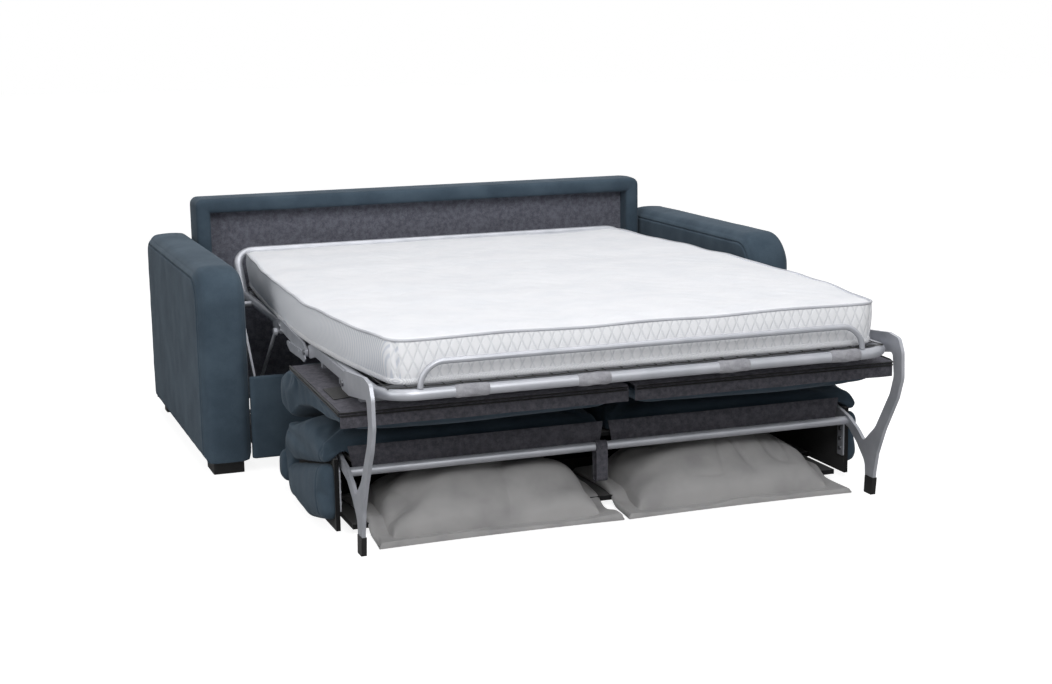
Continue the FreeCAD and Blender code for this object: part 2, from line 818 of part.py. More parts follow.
def make_top_roll():
    """Small headrest roll at the inner end of the backrest."""
    def ring(x, inset):
        i = inset
        low, high = 34 + i, 128 - i
        points = [(roll_face(low), low), (roll_face(high), high), (-166 - i, 118 - i), (-160 - i, 34 + i)]
        return side_wire(points, x, [8, 14, 26, 22])
    x1 = cushion_half - 4.0
    return loft([ring(-x1, 9.0), ring(-x1 + 12, 2.0), ring(-x1 + 30, 0.0), ring(x1 - 30, 0.0),
                 ring(x1 - 12, 2.0), ring(x1, 9.0)])


def make_bracket():
    """Bracket inside the compartment that turns on the end of the leg's branch."""
    x0 = box_half - box_side - fit_gap - bracket_thickness
    py, pz = back_pivot
    low = bracket_low
    y0 = box_front + 1.0
    profile = [(y0, low), (y0, pz - 32), (py - 13, pz + 13), (py + 13, pz + 13),
               (py + 13, pz - 13), (y0 + bracket_width, pz - 60), (y0 + bracket_width, low)]
    plate = side_plate(profile, x0, x0 + bracket_thickness, [4, 14, 12, 12, 12, 12, 4])
    pin = rod((plate_outer - bolt_head_height, py, pz), (x0 + 1.0, py, pz), pivot_radius)
    head_end = plate_outer - fit_gap
    head = rod((head_end - bolt_head_height, py, pz), (head_end, py, pz), bolt_head_radius)
    return plate.fuse(pin).fuse(head)


def make_bracket_bolts():
    """Bolts through the brackets into the compartment's sides."""
    bolts = []
    x1 = box_half - box_side - fit_gap - bracket_thickness - fit_gap
    for z in bracket_bolt_places:
        y = box_front + bracket_width / 2.0 + 1.0
        head = rod((x1 - bolt_head_height, y, z), (x1, y, z), bracket_bolt_radius)
        bolts += [head, mirrored(head)]
    return bolts


def pillow_section(y, x0, x1, low, high, edge):
    """Cross section of a pillow at y: flat rim, full middle."""
    points = [V(x0, y, low), V(x1, y, low), V(x1, y, low + edge), V(x1 - 90, y, high), V(x0 + 90, y, high),
              V(x0, y, low + edge)]
    return rounded_wire(points, [1, 1, 1, 60, 60, 1])


def make_pillow():
    """Pillow resting on the floor in front of the compartment and reaching back into it."""
    x0, x1 = pillow_inner, pillow_outer
    floor = pillow_floor
    inside = box_bottom + box_floor + fit_gap
    stations = [(pillow_front, floor, floor + flange_thickness + 4.0, 4.0),
                (pillow_front + flange_width, floor, floor + 30.0, 6.0),
                (-830.0, floor + 1.0, 110.0, 9.0), (-788.0, floor + 14.0, 142.0, 12.0),
                (-756.0, inside, pillow_top - 12.0, 14.0), (-600.0, inside, pillow_top, 14.0),
                (-500.0, inside, pillow_top - 20.0, 12.0), (pillow_rear, inside + 20.0, inside + 50.0, 6.0)]
    return loft([pillow_section(y, x0, x1, low, high, edge) for y, low, high, edge in stations])


def make_strap():
    """Felt pull strap round the lower tube, hanging in a loop."""
    y, z = lower_tube
    inner = lower_tube_radius + fit_gap
    x0, x1 = strap_x - strap_width / 2.0, strap_x + strap_width / 2.0
    ring = rod((x0, y, z), (x1, y, z), inner + strap_thickness)
    ring = ring.cut(rod((x0 - 1, y, z), (x1 + 1, y, z), inner))
    low = z - inner - strap_drop
    y0, y1 = y - inner - strap_thickness, y + inner + strap_thickness
    outer_loop = side_plate([(y0, low), (y0, z), (y1, z), (y1, low)], x0, x1, [12, 0, 0, 12])
    inner_loop = side_plate([(y0 + strap_thickness, low + strap_thickness), (y0 + strap_thickness, z),
                             (y1 - strap_thickness, z), (y1 - strap_thickness, low + strap_thickness)],
                            x0 - 1, x1 + 1, [9, 0, 0, 9])
    loop = outer_loop.cut(inner_loop)
    return ring.fuse(loop).cut(rod((x0 - 1, y, z), (x1 + 1, y, z), inner)).removeSplitter()


def make_stay_rod():
    """Thin stay from the head section down into the base; its lower pivot is left open."""
    y, z = rod_pin
    turn = math.radians(rod_slope)
    end = (rod_plane, y + rod_length * math.cos(turn), z - rod_length * math.sin(turn))
    bar = rod((rod_plane, y, z), end, rod_radius)
    eye = rod((rod_plane - rod_radius, y, z), (rod_plane + rod_radius, y, z), rod_eye)
    pin = rod((plate_inner + plate_thickness + fit_gap, y, z), (rod_plane, y, z), pivot_radius)
    low_eye = rod((rod_plane - rod_radius, end[1], end[2]), (rod_plane + rod_radius, end[1], end[2]), rod_eye)
    return bar.fuse(eye).fuse(pin).fuse(low_eye)


def both(name, piece):
    """Save a right-hand piece and its mirror."""
    save("right_" + name, piece)
    save("left_" + name, mirrored(piece))


def pair(piece):
    return [piece, mirrored(piece)]


# Fixed body
both("arm", make_arm())
save("arm_feet", *make_arm_feet())
save("back_surround", make_back_frame())
save("back_board", make_back_panel())
save("back_lining", make_lining())
save("front_rail", make_front_rail())
save("cross_rail", make_cross_rail())
both("side_rail", make_side_rail())
save("base_pins", *make_base_pins())

# Lift links
save("front_lift_links", *pair(make_lift_link(lift_pins[0], lift_planes[0])))
save("rear_lift_links", *pair(make_lift_link(lift_pins[1], lift_planes[1])))

# Head section
save("head_frame", make_head_frame())
save("head_cross_tubes", *make_head_cross())
both("head_plate", make_head_plate())
save("lift_brackets", *make_lift_brackets())
save("head_net", make_net(head_frame_front, head_net_end))
save("mattress_head", make_mattress(head_split + split_gap / 2.0, mattress_head_end + 1.0))
save("stay_rods", *pair(make_stay_rod()))

# Middle section
both("middle_plate", make_middle_plate())
save("control_plates", *pair(make_control_plate()))
save("middle_bars", *make_middle_bars())
save("middle_net", make_net(middle_front + net_inset, middle_rear - net_inset))
save("mattress_middle", make_mattress(foot_split + split_gap / 2.0, head_split - split_gap / 2.0))
save("hinge_pins", *make_hinge_pins())

# Foot section
save("foot_frame", make_foot_frame())
save("foot_cross_tubes", *make_foot_cross())
both("foot_plate", make_foot_plate())
save("foot_net", make_net(foot_tube_y + tube_radius + net_inset, foot_frame_rear - net_inset))
save("mattress_foot", make_mattress(mattress_foot_end - 1.0, foot_split - split_gap / 2.0))
save("retaining_bar", make_retaining_bar())
save("tube_wraps", *make_wraps())
both("leg", make_leg())
both("leg_cap", make_leg_cap().cut(make_leg()))
save("leg_bolts", *make_leg_bolts())
save("lower_tube", make_lower_tube())
save("pull_strap", make_strap())
save("seat_bearers", *make_seat_bearers())
both("seat_board", make_seat_board())
both("seat_cushion", make_seat_cushion())

# Backrest
save("pillow_box", make_pillow_box())
both("back_cushion", make_back_cushion())
both("side_pad", make_side_pad())
save("top_roll", make_top_roll())
both("backrest_bracket", make_bracket())
save("bracket_bolts", *make_bracket_bolts())
both("pillow", make_pillow())

for name, shape in made:
    low, high = shape.BoundBox, shape.BoundBox
    good = shape.isValid() and shape.Volume > 0
    print(name, "valid" if good else "BAD", len(shape.Solids), round(shape.Volume / 1000.0, 1),
          [round(v) for v in (low.XMin, low.YMin, low.ZMin, high.XMax, high.YMax, high.ZMax)])
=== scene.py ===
"""Dresses the tip-over sleeper sofa: soft goods, quilted mattress, felt, net and finishes over its frame."""
import math

import bmesh
import bpy
import numpy as np
from mathutils import Matrix, Vector


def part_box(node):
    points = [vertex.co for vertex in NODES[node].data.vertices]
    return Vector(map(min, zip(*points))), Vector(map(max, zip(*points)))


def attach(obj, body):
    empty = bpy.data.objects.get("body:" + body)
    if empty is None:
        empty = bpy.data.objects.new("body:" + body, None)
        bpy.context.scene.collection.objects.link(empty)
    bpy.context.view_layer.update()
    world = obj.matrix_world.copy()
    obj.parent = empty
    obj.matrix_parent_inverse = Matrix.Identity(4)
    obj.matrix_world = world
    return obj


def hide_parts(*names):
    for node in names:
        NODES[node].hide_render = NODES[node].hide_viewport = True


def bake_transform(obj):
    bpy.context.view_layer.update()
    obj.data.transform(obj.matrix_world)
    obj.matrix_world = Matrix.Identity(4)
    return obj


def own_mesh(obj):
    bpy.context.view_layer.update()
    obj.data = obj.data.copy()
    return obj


bl_info = {
    "name": "Sleeper Sofa Dresser",
    "version": (1, 0, 0),
    "blender": (4, 5, 0),
    "location": "View3D > Sidebar > Sofa",
    "description": "Builds the cushions, mattress, felt, net and finishes of a sleeper sofa over its frame",
    "category": "Object",
}

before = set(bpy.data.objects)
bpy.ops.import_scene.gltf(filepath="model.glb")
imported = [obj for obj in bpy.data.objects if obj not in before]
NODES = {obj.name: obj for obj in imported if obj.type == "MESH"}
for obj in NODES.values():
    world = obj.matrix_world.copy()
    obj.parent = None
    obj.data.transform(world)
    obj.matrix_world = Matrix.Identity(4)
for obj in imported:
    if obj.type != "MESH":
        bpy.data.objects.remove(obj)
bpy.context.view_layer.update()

# Lengths are in metres, powers in watts and angles in degrees.
TINY = 1e-9
ON_PLANE = 1e-6
ARM_STEPS = np.array([0, .003, .006, .010, .014, .018, .022, .0235, .025, .026, .027, .0285, .031, .035, .042,
                      .054, .072])
PILLOW_TRAVEL = 0.15
FELT_FLAT = 46
FELT_BEND = 6
FELT_DROP = 0.034
MATTRESS_SPLIT = -0.165
MATTRESS_HALF = 0.700
MATTRESS_CORNER = 0.050
MATTRESS_TAPER = 0.012
BACK_SEAM_Y = -0.700
NET_WIRE = 0.00105
FINE_VOXEL = 0.007
WRAP_PLACES = (-0.5, -0.165, 0.24, 0.58)
LAMPS = (("key", (-0.4, -4.6, 3.8), 3.0, 150.0), ("fill", (-4.2, -2.4, 2.6), 3.0, 60.0),
         ("top", (0.4, 0.2, 4.4), 3.5, 82.0))
CAMERA_PLACE = (-1.8533, -5.2465, 1.3914)
CAMERA_TURN = (-19.80, -10.59, -0.93)
CAMERA_FOCUS = 1758.5
PHOTO_WIDTH = 1052.0


# Grids and surfaces.

def stations(length, edge, fine, coarse):
    """Positions from 0 to length: steps of fine within edge of each end and of about coarse between."""
    near = np.arange(0.0, edge, fine)
    inner = np.linspace(edge, length - edge, max(2, int(round((length - 2 * edge) / coarse)) + 1))
    return np.concatenate([near, inner, length - near[::-1]])


def cell_quads(cell):
    """The quads between neighbouring rows and columns of a grid of point numbers."""
    return np.stack([cell[:-1, :-1], cell[1:, :-1], cell[1:, 1:], cell[:-1, 1:]], -1).reshape(-1, 4)


def block_grid(low, xs, ys, zs):
    """Closed box grid. Points are low + (x, y, z) over the six faces of the box that the three
    lists of positions span, with shared edges welded. Returns points and quads."""
    counts = np.array([len(xs) - 1, len(ys) - 1, len(zs) - 1])
    keys, quads, offset = [], [], 0
    for axis in range(3):
        a, b = (axis + 1) % 3, (axis + 2) % 3
        i, j = np.meshgrid(np.arange(counts[a] + 1), np.arange(counts[b] + 1), indexing="ij")
        around = cell_quads(np.arange(i.size).reshape(i.shape))
        for side in (0, 1):
            key = np.zeros((i.size, 3), int)
            key[:, a], key[:, b], key[:, axis] = i.ravel(), j.ravel(), side * counts[axis]
            keys.append(key)
            quads.append((around if side else around[:, ::-1]) + offset)
            offset += i.size
    keys = np.concatenate(keys)
    unique, inverse = np.unique(keys, axis=0, return_inverse=True)
    quads = inverse.ravel()[np.concatenate(quads)]
    points = np.stack([np.asarray(xs)[unique[:, 0]], np.asarray(ys)[unique[:, 1]],
                       np.asarray(zs)[unique[:, 2]]], 1)
    return points + np.asarray(low, float), quads


def soften(points, low, high, radius):
    """Rounds a box's edges: what lies within radius of an edge or corner is drawn onto a quarter
    round, by scaling its offset from the inner box to the largest of its three parts."""
    inner = np.clip(points, np.asarray(low) + radius, np.asarray(high) - radius)
    offset = points - inner
    reach = np.abs(offset).max(1)
    length = np.linalg.norm(offset, axis=1)
    return inner + offset * (reach / np.maximum(length, TINY))[:, None]


def round_corner(points, a, b, corner, signs, radius):
    """Rounds one upright corner in the plane of axes a and b. Squares about the corner's centre
    become circles: an offset (u, v) is scaled so that its length is the larger of u and v."""
    centre = np.array([corner[0] - signs[0] * radius, corner[1] - signs[1] * radius])
    offset = points[:, [a, b]] - centre
    inside = (offset[:, 0] * signs[0] > 0) & (offset[:, 1] * signs[1] > 0)
    reach = np.abs(offset).max(1)
    length = np.maximum(np.linalg.norm(offset, axis=1), TINY)
    scale = np.where(inside, reach / length, 1.0)
    out = points.copy()
    out[:, [a, b]] = centre + offset * scale[:, None]
    return out


def swept_tube(path, ring, closed=False):
    """A closed ring of (across, up) offsets carried along a path. The frame at each point is the
    path's tangent, a steady side direction found by passing the last one on, and their product."""
    path = np.asarray(path, float)
    if closed:
        tangent = np.roll(path, -1, 0) - np.roll(path, 1, 0)
    else:
        tangent = np.gradient(path, axis=0)
    tangent /= np.maximum(np.linalg.norm(tangent, axis=1), TINY)[:, None]
    up = np.array([0.0, 0.0, 1.0])
    side = np.cross(tangent, up)
    weak = np.linalg.norm(side, axis=1) < 0.05
    side[weak] = np.cross(tangent[weak], [1.0, 0.0, 0.0])
    side /= np.linalg.norm(side, axis=1)[:, None]
    lift = np.cross(side, tangent)
    ring = np.asarray(ring, float)
    points = path[:, None] + side[:, None] * ring[None, :, :1] + lift[:, None] * ring[None, :, 1:2]
    return grid_mesh(points, wrap_u=closed, wrap_v=True, caps=not closed)


def grid_mesh(points, wrap_u=False, wrap_v=False, caps=False):
    """Quads over a (u, v) grid of points; caps closes the first and last ring with a fan."""
    nu, nv = points.shape[:2]
    cell = np.arange(nu * nv).reshape(nu, nv)
    rows = cell if not wrap_u else np.concatenate([cell, cell[:1]])
    rows = rows if not wrap_v else np.concatenate([rows, rows[:, :1]], 1)
    quads = np.stack([rows[:-1, :-1], rows[:-1, 1:], rows[1:, 1:], rows[1:, :-1]], -1).reshape(-1, 4)
    flat = points.reshape(-1, 3)
    faces = [tuple(q) for q in quads.tolist()]
    if caps:
        faces.append(tuple(cell[0][::-1].tolist()))
        faces.append(tuple(cell[-1].tolist()))
    return flat, faces


def make_object(name, points, faces, body, material, node=None, smooth=True):
    """Mesh object with its place in its mesh, riding on a body and standing for a frame node."""
    mesh = bpy.data.meshes.new(name)
    faces = faces.tolist() if isinstance(faces, np.ndarray) else faces
    mesh.from_pydata(np.asarray(points, float).tolist(), [], faces)
    mesh.update()
    return dress(name, mesh, body, material, node, smooth)


def dress(name, mesh, body, material, node=None, smooth=True):
    """Puts a finished mesh in the scene with its outward normals, material and body, and hides the frame
    nodes that it stands for.
    """
    shell = bmesh.new()
    shell.from_mesh(mesh)
    bmesh.ops.recalc_face_normals(shell, faces=shell.faces)
    shell.to_mesh(mesh)
    shell.free()
    obj = bpy.data.objects.new(name, mesh)
    bpy.context.scene.collection.objects.link(obj)
    mesh.materials.clear()
    mesh.materials.append(material)
    mesh.polygons.foreach_set("use_smooth", [smooth] * len(mesh.polygons))
    if smooth:
        mesh.set_sharp_from_angle(angle=math.radians(66))
    if body:
        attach(obj, body)
    if node:
        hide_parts(*([node] if isinstance(node, str) else node))
    return obj


def mesh_points(mesh, value="co"):
    """A value of each vertex of a mesh, its place or its normal, as an array."""
    out = np.empty(len(mesh.vertices) * 3)
    mesh.vertices.foreach_get(value, out)
    return out.reshape(-1, 3)


def vertex_normals(mesh):
    """Normals of a mesh's vertices as an array."""
    return mesh_points(mesh, "normal")


def set_points(mesh, points):
    """Writes points back to a mesh."""
    mesh.vertices.foreach_set("co", np.asarray(points, float).ravel())
    mesh.update()


def waves(points, scale, seed, turns=5):
    """Smooth seeded unevenness: a sum of sines along random directions, from -1 to 1."""
    rng = np.random.default_rng(seed)
    total = np.zeros(len(points))
    for step in range(turns):
        direction = rng.normal(size=3)
        direction /= np.linalg.norm(direction)
        phase = rng.uniform(0, 2 * math.pi)
        total += np.sin(points @ direction * 2 * math.pi / (scale * (0.6 + 0.25 * step)) + phase)
    return total / turns


# Materials.

def tree_of(name):
    """A new material with its Principled shader; returns material, nodes, links and shader."""
    material = bpy.data.materials.new(name)
    material.use_nodes = True
    nodes, links = material.node_tree.nodes, material.node_tree.links
    return material, nodes, links, nodes["Principled BSDF"]


def linear(colour):
    """Display colour from 0 to 255 as linear light, with alpha 1."""
    c = np.asarray(colour, float) / 255.0
    c = np.where(c <= 0.04045, c / 12.92, ((c + 0.055) / 1.055) ** 2.4)
    return (*c.tolist(), 1.0)


def new_group(name, inputs, outputs):
    """An empty shader node group with named sockets."""
    group = bpy.data.node_groups.new(name, "ShaderNodeTree")
    for kind, label, value in inputs:
        socket = group.interface.new_socket(label, in_out="INPUT", socket_type=kind)
        socket.default_value = value
    for kind, label in outputs:
        group.interface.new_socket(label, in_out="OUTPUT", socket_type=kind)
    return group, group.nodes.new("NodeGroupInput"), group.nodes.new("NodeGroupOutput")


def noise(nodes, links, vector, scale, detail=3.0, roughness=0.5):
    """Noise texture on the given vector."""
    node = nodes.new("ShaderNodeTexNoise")
    node.inputs["Detail"].default_value = detail
    node.inputs["Roughness"].default_value = roughness
    if isinstance(scale, (int, float)):
        node.inputs["Scale"].default_value = scale
    else:
        links.new(scale, node.inputs["Scale"])
    links.new(vector, node.inputs["Vector"])
    return node.outputs["Fac"]


def math_node(nodes, links, operation, a, b=None, c=None):
    """A Math node on sockets or numbers."""
    node = nodes.new("ShaderNodeMath")
    node.operation = operation
    for socket, value in zip(node.inputs, (a, b, c)):
        if value is None:
            continue
        if isinstance(value, (int, float)):
            socket.default_value = value
        else:
            links.new(value, socket)
    return node.outputs[0]


def mix_colour(nodes, links, factor, a, b):
    """Colour mix of two sockets or colours by a factor socket."""
    node = nodes.new("ShaderNodeMix")
    node.data_type = "RGBA"
    links.new(factor, node.inputs["Factor"])
    for socket, value in ((node.inputs["A"], a), (node.inputs["B"], b)):
        if isinstance(value, tuple):
            socket.default_value = value
        else:
            links.new(value, socket)
    return node.outputs["Result"]


def ramp(nodes, links, value, low, high):
    """Map Range from low..high to 0..1, smooth."""
    node = nodes.new("ShaderNodeMapRange")
    node.interpolation_type = "SMOOTHSTEP"
    links.new(value, node.inputs["Value"])
    node.inputs["From Min"].default_value = low
    node.inputs["From Max"].default_value = high
    return node.outputs["Result"]


def pile_group():
    """Suede-like pile: broad brushed patches, fine flecks and a fibre height."""
    group, enter, leave = new_group("brushed_pile", [
        ("NodeSocketColor", "Base", (0.1, 0.1, 0.1, 1)), ("NodeSocketColor", "Lit", (0.2, 0.2, 0.2, 1)),
        ("NodeSocketFloat", "Patch Scale", 7.0), ("NodeSocketFloat", "Fleck Scale", 420.0),
        ("NodeSocketFloat", "Fleck Amount", 0.35)],
        [("NodeSocketColor", "Color"), ("NodeSocketFloat", "Height"), ("NodeSocketFloat", "Roughness")])
    nodes, links = group.nodes, group.links
    place = object_place(nodes)
    patch = ramp(nodes, links, noise(nodes, links, place, enter.outputs["Patch Scale"], 4.0, 0.6), 0.3, 0.72)
    fleck = noise(nodes, links, place, enter.outputs["Fleck Scale"], 2.0, 0.7)
    fleck_part = math_node(nodes, links, "MULTIPLY", fleck, enter.outputs["Fleck Amount"])
    patch_part = math_node(nodes, links, "MULTIPLY", patch, 0.36)
    share = math_node(nodes, links, "ADD", patch_part, fleck_part)
    colour = mix_colour(nodes, links, share, enter.outputs["Base"], enter.outputs["Lit"])
    links.new(colour, leave.inputs["Color"])
    links.new(fleck, leave.inputs["Height"])
    rough = math_node(nodes, links, "MULTIPLY_ADD", patch, -0.08, 0.93)
    links.new(rough, leave.inputs["Roughness"])
    return group


def weave_group():
    """Two crossed threads from sine ridges along two diagonals of object space, as a height."""
    group, enter, leave = new_group("crossed_threads", [("NodeSocketFloat", "Pitch", 0.001)],
                                    [("NodeSocketFloat", "Height")])
    nodes, links = group.nodes, group.links
    x, y, z = object_axes(nodes, links)
    turns = math_node(nodes, links, "DIVIDE", 2 * math.pi, enter.outputs["Pitch"])
    along = math_node(nodes, links, "ADD", x, z)
    across = math_node(nodes, links, "SUBTRACT", y, z)
    ridges = []
    for value in (along, across):
        angle = math_node(nodes, links, "MULTIPLY", value, turns)
        ridges.append(math_node(nodes, links, "SINE", angle))
    links.new(math_node(nodes, links, "MULTIPLY", *ridges), leave.inputs["Height"])
    return group


def bump(nodes, links, shader, height, strength, distance):
    """Bump node from a height socket to the shader's normal."""
    node = nodes.new("ShaderNodeBump")
    node.inputs["Strength"].default_value = strength
    node.inputs["Distance"].default_value = distance
    links.new(height, node.inputs["Height"])
    links.new(node.outputs["Normal"], shader.inputs["Normal"])
    return node


def set_inputs(node, **values):
    """Sets a node's inputs by their labels, in which _ stands for a space."""
    for label, value in values.items():
        node.inputs[label.replace("_", " ")].default_value = value


def use_group(nodes, group, **values):
    """A placed node group with its input values."""
    node = nodes.new("ShaderNodeGroup")
    node.node_tree = group
    set_inputs(node, **values)
    return node


def object_place(nodes):
    """The socket with a point's place on its object."""
    return nodes.new("ShaderNodeTexCoord").outputs["Object"]


def object_axes(nodes, links):
    """The three sockets x, y and z of a point's place on its object."""
    split = nodes.new("ShaderNodeSeparateXYZ")
    links.new(object_place(nodes), split.inputs[0])
    return split.outputs


def pile_material(name, base, lit, groups, patch=7.0, fleck=420.0, amount=0.35, sheen=0.35, strength=0.35,
                  distance=0.0008):
    """Cloth with a pile: brushed patches and flecks, with sheen."""
    material, nodes, links, shader = tree_of(name)
    node = use_group(nodes, groups["pile"], Base=linear(base), Lit=linear(lit), Patch_Scale=patch,
                     Fleck_Scale=fleck, Fleck_Amount=amount)
    links.new(node.outputs["Color"], shader.inputs["Base Color"])
    links.new(node.outputs["Roughness"], shader.inputs["Roughness"])
    tint = linear([0.45 * channel + 110 for channel in lit])
    set_inputs(shader, Sheen_Weight=sheen, Sheen_Roughness=0.4, Sheen_Tint=tint, Specular_IOR_Level=0.15)
    bump(nodes, links, shader, node.outputs["Height"], strength, distance)
    return material


def woven_material(name, base, shade, groups, pitch=0.0012, rough=0.85, strength=0.3, sheen=0.2):
    """Plain woven cloth: crossed threads and soft soiling."""
    material, nodes, links, shader = tree_of(name)
    place = object_place(nodes)
    node = use_group(nodes, groups["weave"], Pitch=pitch)
    cloud = ramp(nodes, links, noise(nodes, links, place, 9.0, 3.0), 0.3, 0.8)
    links.new(mix_colour(nodes, links, cloud, linear(base), linear(shade)), shader.inputs["Base Color"])
    set_inputs(shader, Roughness=rough, Sheen_Weight=sheen, Specular_IOR_Level=0.2)
    bump(nodes, links, shader, node.outputs["Height"], strength, 0.0004)
    return material


def ribbed_material(name, base, shade, pitch, bend):
    """Cloth with upright ribs: a sine of the run along x + y, bent with height by bend."""
    material, nodes, links, shader = tree_of(name)
    x, y, z = object_axes(nodes, links)
    run = math_node(nodes, links, "ADD", x, y)
    lean = math_node(nodes, links, "MULTIPLY_ADD", z, bend, run)
    ridge = math_node(nodes, links, "SINE", math_node(nodes, links, "MULTIPLY", lean, 2 * math.pi / pitch))
    # Painted shade: the troughs between the ribs, where the height is lowest, take the darker shade colour.
    share = ramp(nodes, links, ridge, 0.4, -1.0)
    links.new(mix_colour(nodes, links, share, linear(base), linear(shade)), shader.inputs["Base Color"])
    set_inputs(shader, Roughness=0.85, Specular_IOR_Level=0.15)
    bump(nodes, links, shader, ridge, 0.5, 0.0012)
    return material


def zigzag_material(name, base, shade):
    """Quilted cloth. Two zigzag lines of stitching, half a turn apart, cross the border's height
    in rows; the cloth puffs with the distance from the nearer line, up to width."""
    material, nodes, links, shader = tree_of(name)
    low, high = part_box("mattress_foot")
    pitch, rows, width = 0.028, 2, 0.16
    x, _, z = object_axes(nodes, links)
    height = math_node(nodes, links, "SUBTRACT", z, low[2])
    row = (high[2] - low[2]) / rows
    rise = math_node(nodes, links, "DIVIDE", math_node(nodes, links, "PINGPONG", height, row), row)
    lines = []
    for shift in (0.0, pitch):
        moved = math_node(nodes, links, "ADD", x, shift)
        swing = math_node(nodes, links, "PINGPONG", moved, pitch)
        swing = math_node(nodes, links, "DIVIDE", swing, pitch)
        gap = math_node(nodes, links, "ABSOLUTE", math_node(nodes, links, "SUBTRACT", swing, rise))
        lines.append(ramp(nodes, links, gap, 0.0, width))
    puff = math_node(nodes, links, "MINIMUM", *lines)
    # Painted shade: the cloth takes the darker shade colour along the sunk stitch lines, where the puff is
    # lowest.
    links.new(mix_colour(nodes, links, puff, linear(shade), linear(base)), shader.inputs["Base Color"])
    set_inputs(shader, Roughness=0.85, Specular_IOR_Level=0.15)
    bump(nodes, links, shader, puff, 0.45, 0.0025)
    return material


def coat_material(name, base, shade, rough, metal, grain=900.0, strength=0.08, coat=0.0):
    """Painted or plated metal, or moulded plastic: faint clouding and a fine grain."""
    material, nodes, links, shader = tree_of(name)
    place = object_place(nodes)
    cloud = noise(nodes, links, place, 14.0, 4.0)
    fine = noise(nodes, links, place, grain, 2.0)
    links.new(mix_colour(nodes, links, ramp(nodes, links, cloud, 0.3, 0.7), linear(base), linear(shade)),
              shader.inputs["Base Color"])
    links.new(math_node(nodes, links, "MULTIPLY_ADD", cloud, 0.14, rough - 0.07), shader.inputs["Roughness"])
    set_inputs(shader, Metallic=metal, Coat_Weight=coat)
    bump(nodes, links, shader, fine, strength, 0.0003)
    return material


def make_materials(colours):
    """All finishes, keyed by their plain names."""
    groups = {"pile": pile_group(), "weave": weave_group()}
    m = {}
    m["microfibre"] = pile_material("microfibre", colours.cloth, colours.cloth_lit, groups)
    thick = {"amount": 0.5, "sheen": 0.15, "strength": 0.6, "distance": 0.0015}
    m["felt"] = pile_material("needle_felt", (52, 52, 58), (112, 111, 119), groups, 75.0, 260.0, **thick)
    m["lining_felt"] = pile_material("lining_felt", (74, 75, 84), (136, 138, 150), groups, 60.0, 240.0,
                                     **thick)
    m["zip"] = woven_material("zip_tape", (16, 16, 18), (26, 26, 28), groups, pitch=0.003, rough=0.7)
    m["lining"] = woven_material("black_spun", (15, 15, 17), (24, 24, 26), groups, pitch=0.004, rough=0.9)
    m["ticking"] = woven_material("mattress_ticking", (238, 239, 243), (231, 233, 238), groups, pitch=0.0016,
                                  strength=0.25, sheen=0.1)
    m["tape"] = woven_material("mattress_tape", (206, 208, 214), (188, 190, 197), groups, pitch=0.0035,
                               strength=0.5, sheen=0.1)
    # The second colour of each ribbed cloth is painted shade in the troughs between its ribs.
    m["bottom_tape"] = ribbed_material("mattress_bottom_tape", (236, 237, 240), (214, 216, 221), 0.0042, 0.0)
    m["border"] = ribbed_material("mattress_side_border", (243, 245, 249), (218, 223, 232), 0.0105, 0.35)
    # The second colour is painted shade along the quilting's sunk stitch lines.
    m["zigzag"] = zigzag_material("mattress_end_border", (242, 243, 246), (229, 231, 235))
    m["pale_felt"] = pile_material("pale_felt", (128, 128, 134), (184, 184, 190), groups, 40.0, 220.0,
                                   amount=0.6, sheen=0.15, strength=0.5, distance=0.0012)
    m["cotton"] = woven_material("pillow_cotton", (172, 171, 171), (152, 151, 152), groups, pitch=0.0011,
                                 strength=0.25)
    m["paint"] = coat_material("silver_powder_coat", (186, 188, 195), (172, 175, 182), 0.38, 0.35)
    m["zinc"] = coat_material("zinc_plate", (150, 152, 156), (118, 120, 124), 0.34, 0.9, grain=500.0)
    m["plastic"] = coat_material("black_plastic", (20, 20, 21), (27, 27, 28), 0.42, 0.0, grain=1400.0,
                                 strength=0.15)
    m["net"] = coat_material("black_net", (14, 14, 15), (22, 22, 23), 0.5, 0.0)
    return m


# Soft forms.

def copy_of(node):
    """A welded copy of a frame node's triangles."""
    mesh = NODES[node].data.copy()
    shell = bmesh.new()
    shell.from_mesh(mesh)
    bmesh.ops.remove_doubles(shell, verts=shell.verts, dist=0.0001)
    shell.to_mesh(mesh)
    shell.free()
    return mesh


def evaluated(obj):
    """The mesh of an object with its modifiers applied."""
    graph = bpy.context.evaluated_depsgraph_get()
    return bpy.data.meshes.new_from_object(obj.evaluated_get(graph))


def remeshed(name, node, voxel, inset, smooth=6):
    """A voxel remesh of a node's form, smoothed and drawn in along its normals by inset."""
    obj = bpy.data.objects.new(name, copy_of(node))
    bpy.context.scene.collection.objects.link(obj)
    modifier = obj.modifiers.new("even", "REMESH")
    modifier.mode = "VOXEL"
    modifier.voxel_size = voxel
    relax = obj.modifiers.new("relax", "SMOOTH")
    relax.iterations = smooth
    relax.factor = 0.5
    mesh = evaluated(obj)
    obj.modifiers.clear()
    obj.data = mesh
    set_points(mesh, mesh_points(mesh) - vertex_normals(mesh) * inset)
    return obj


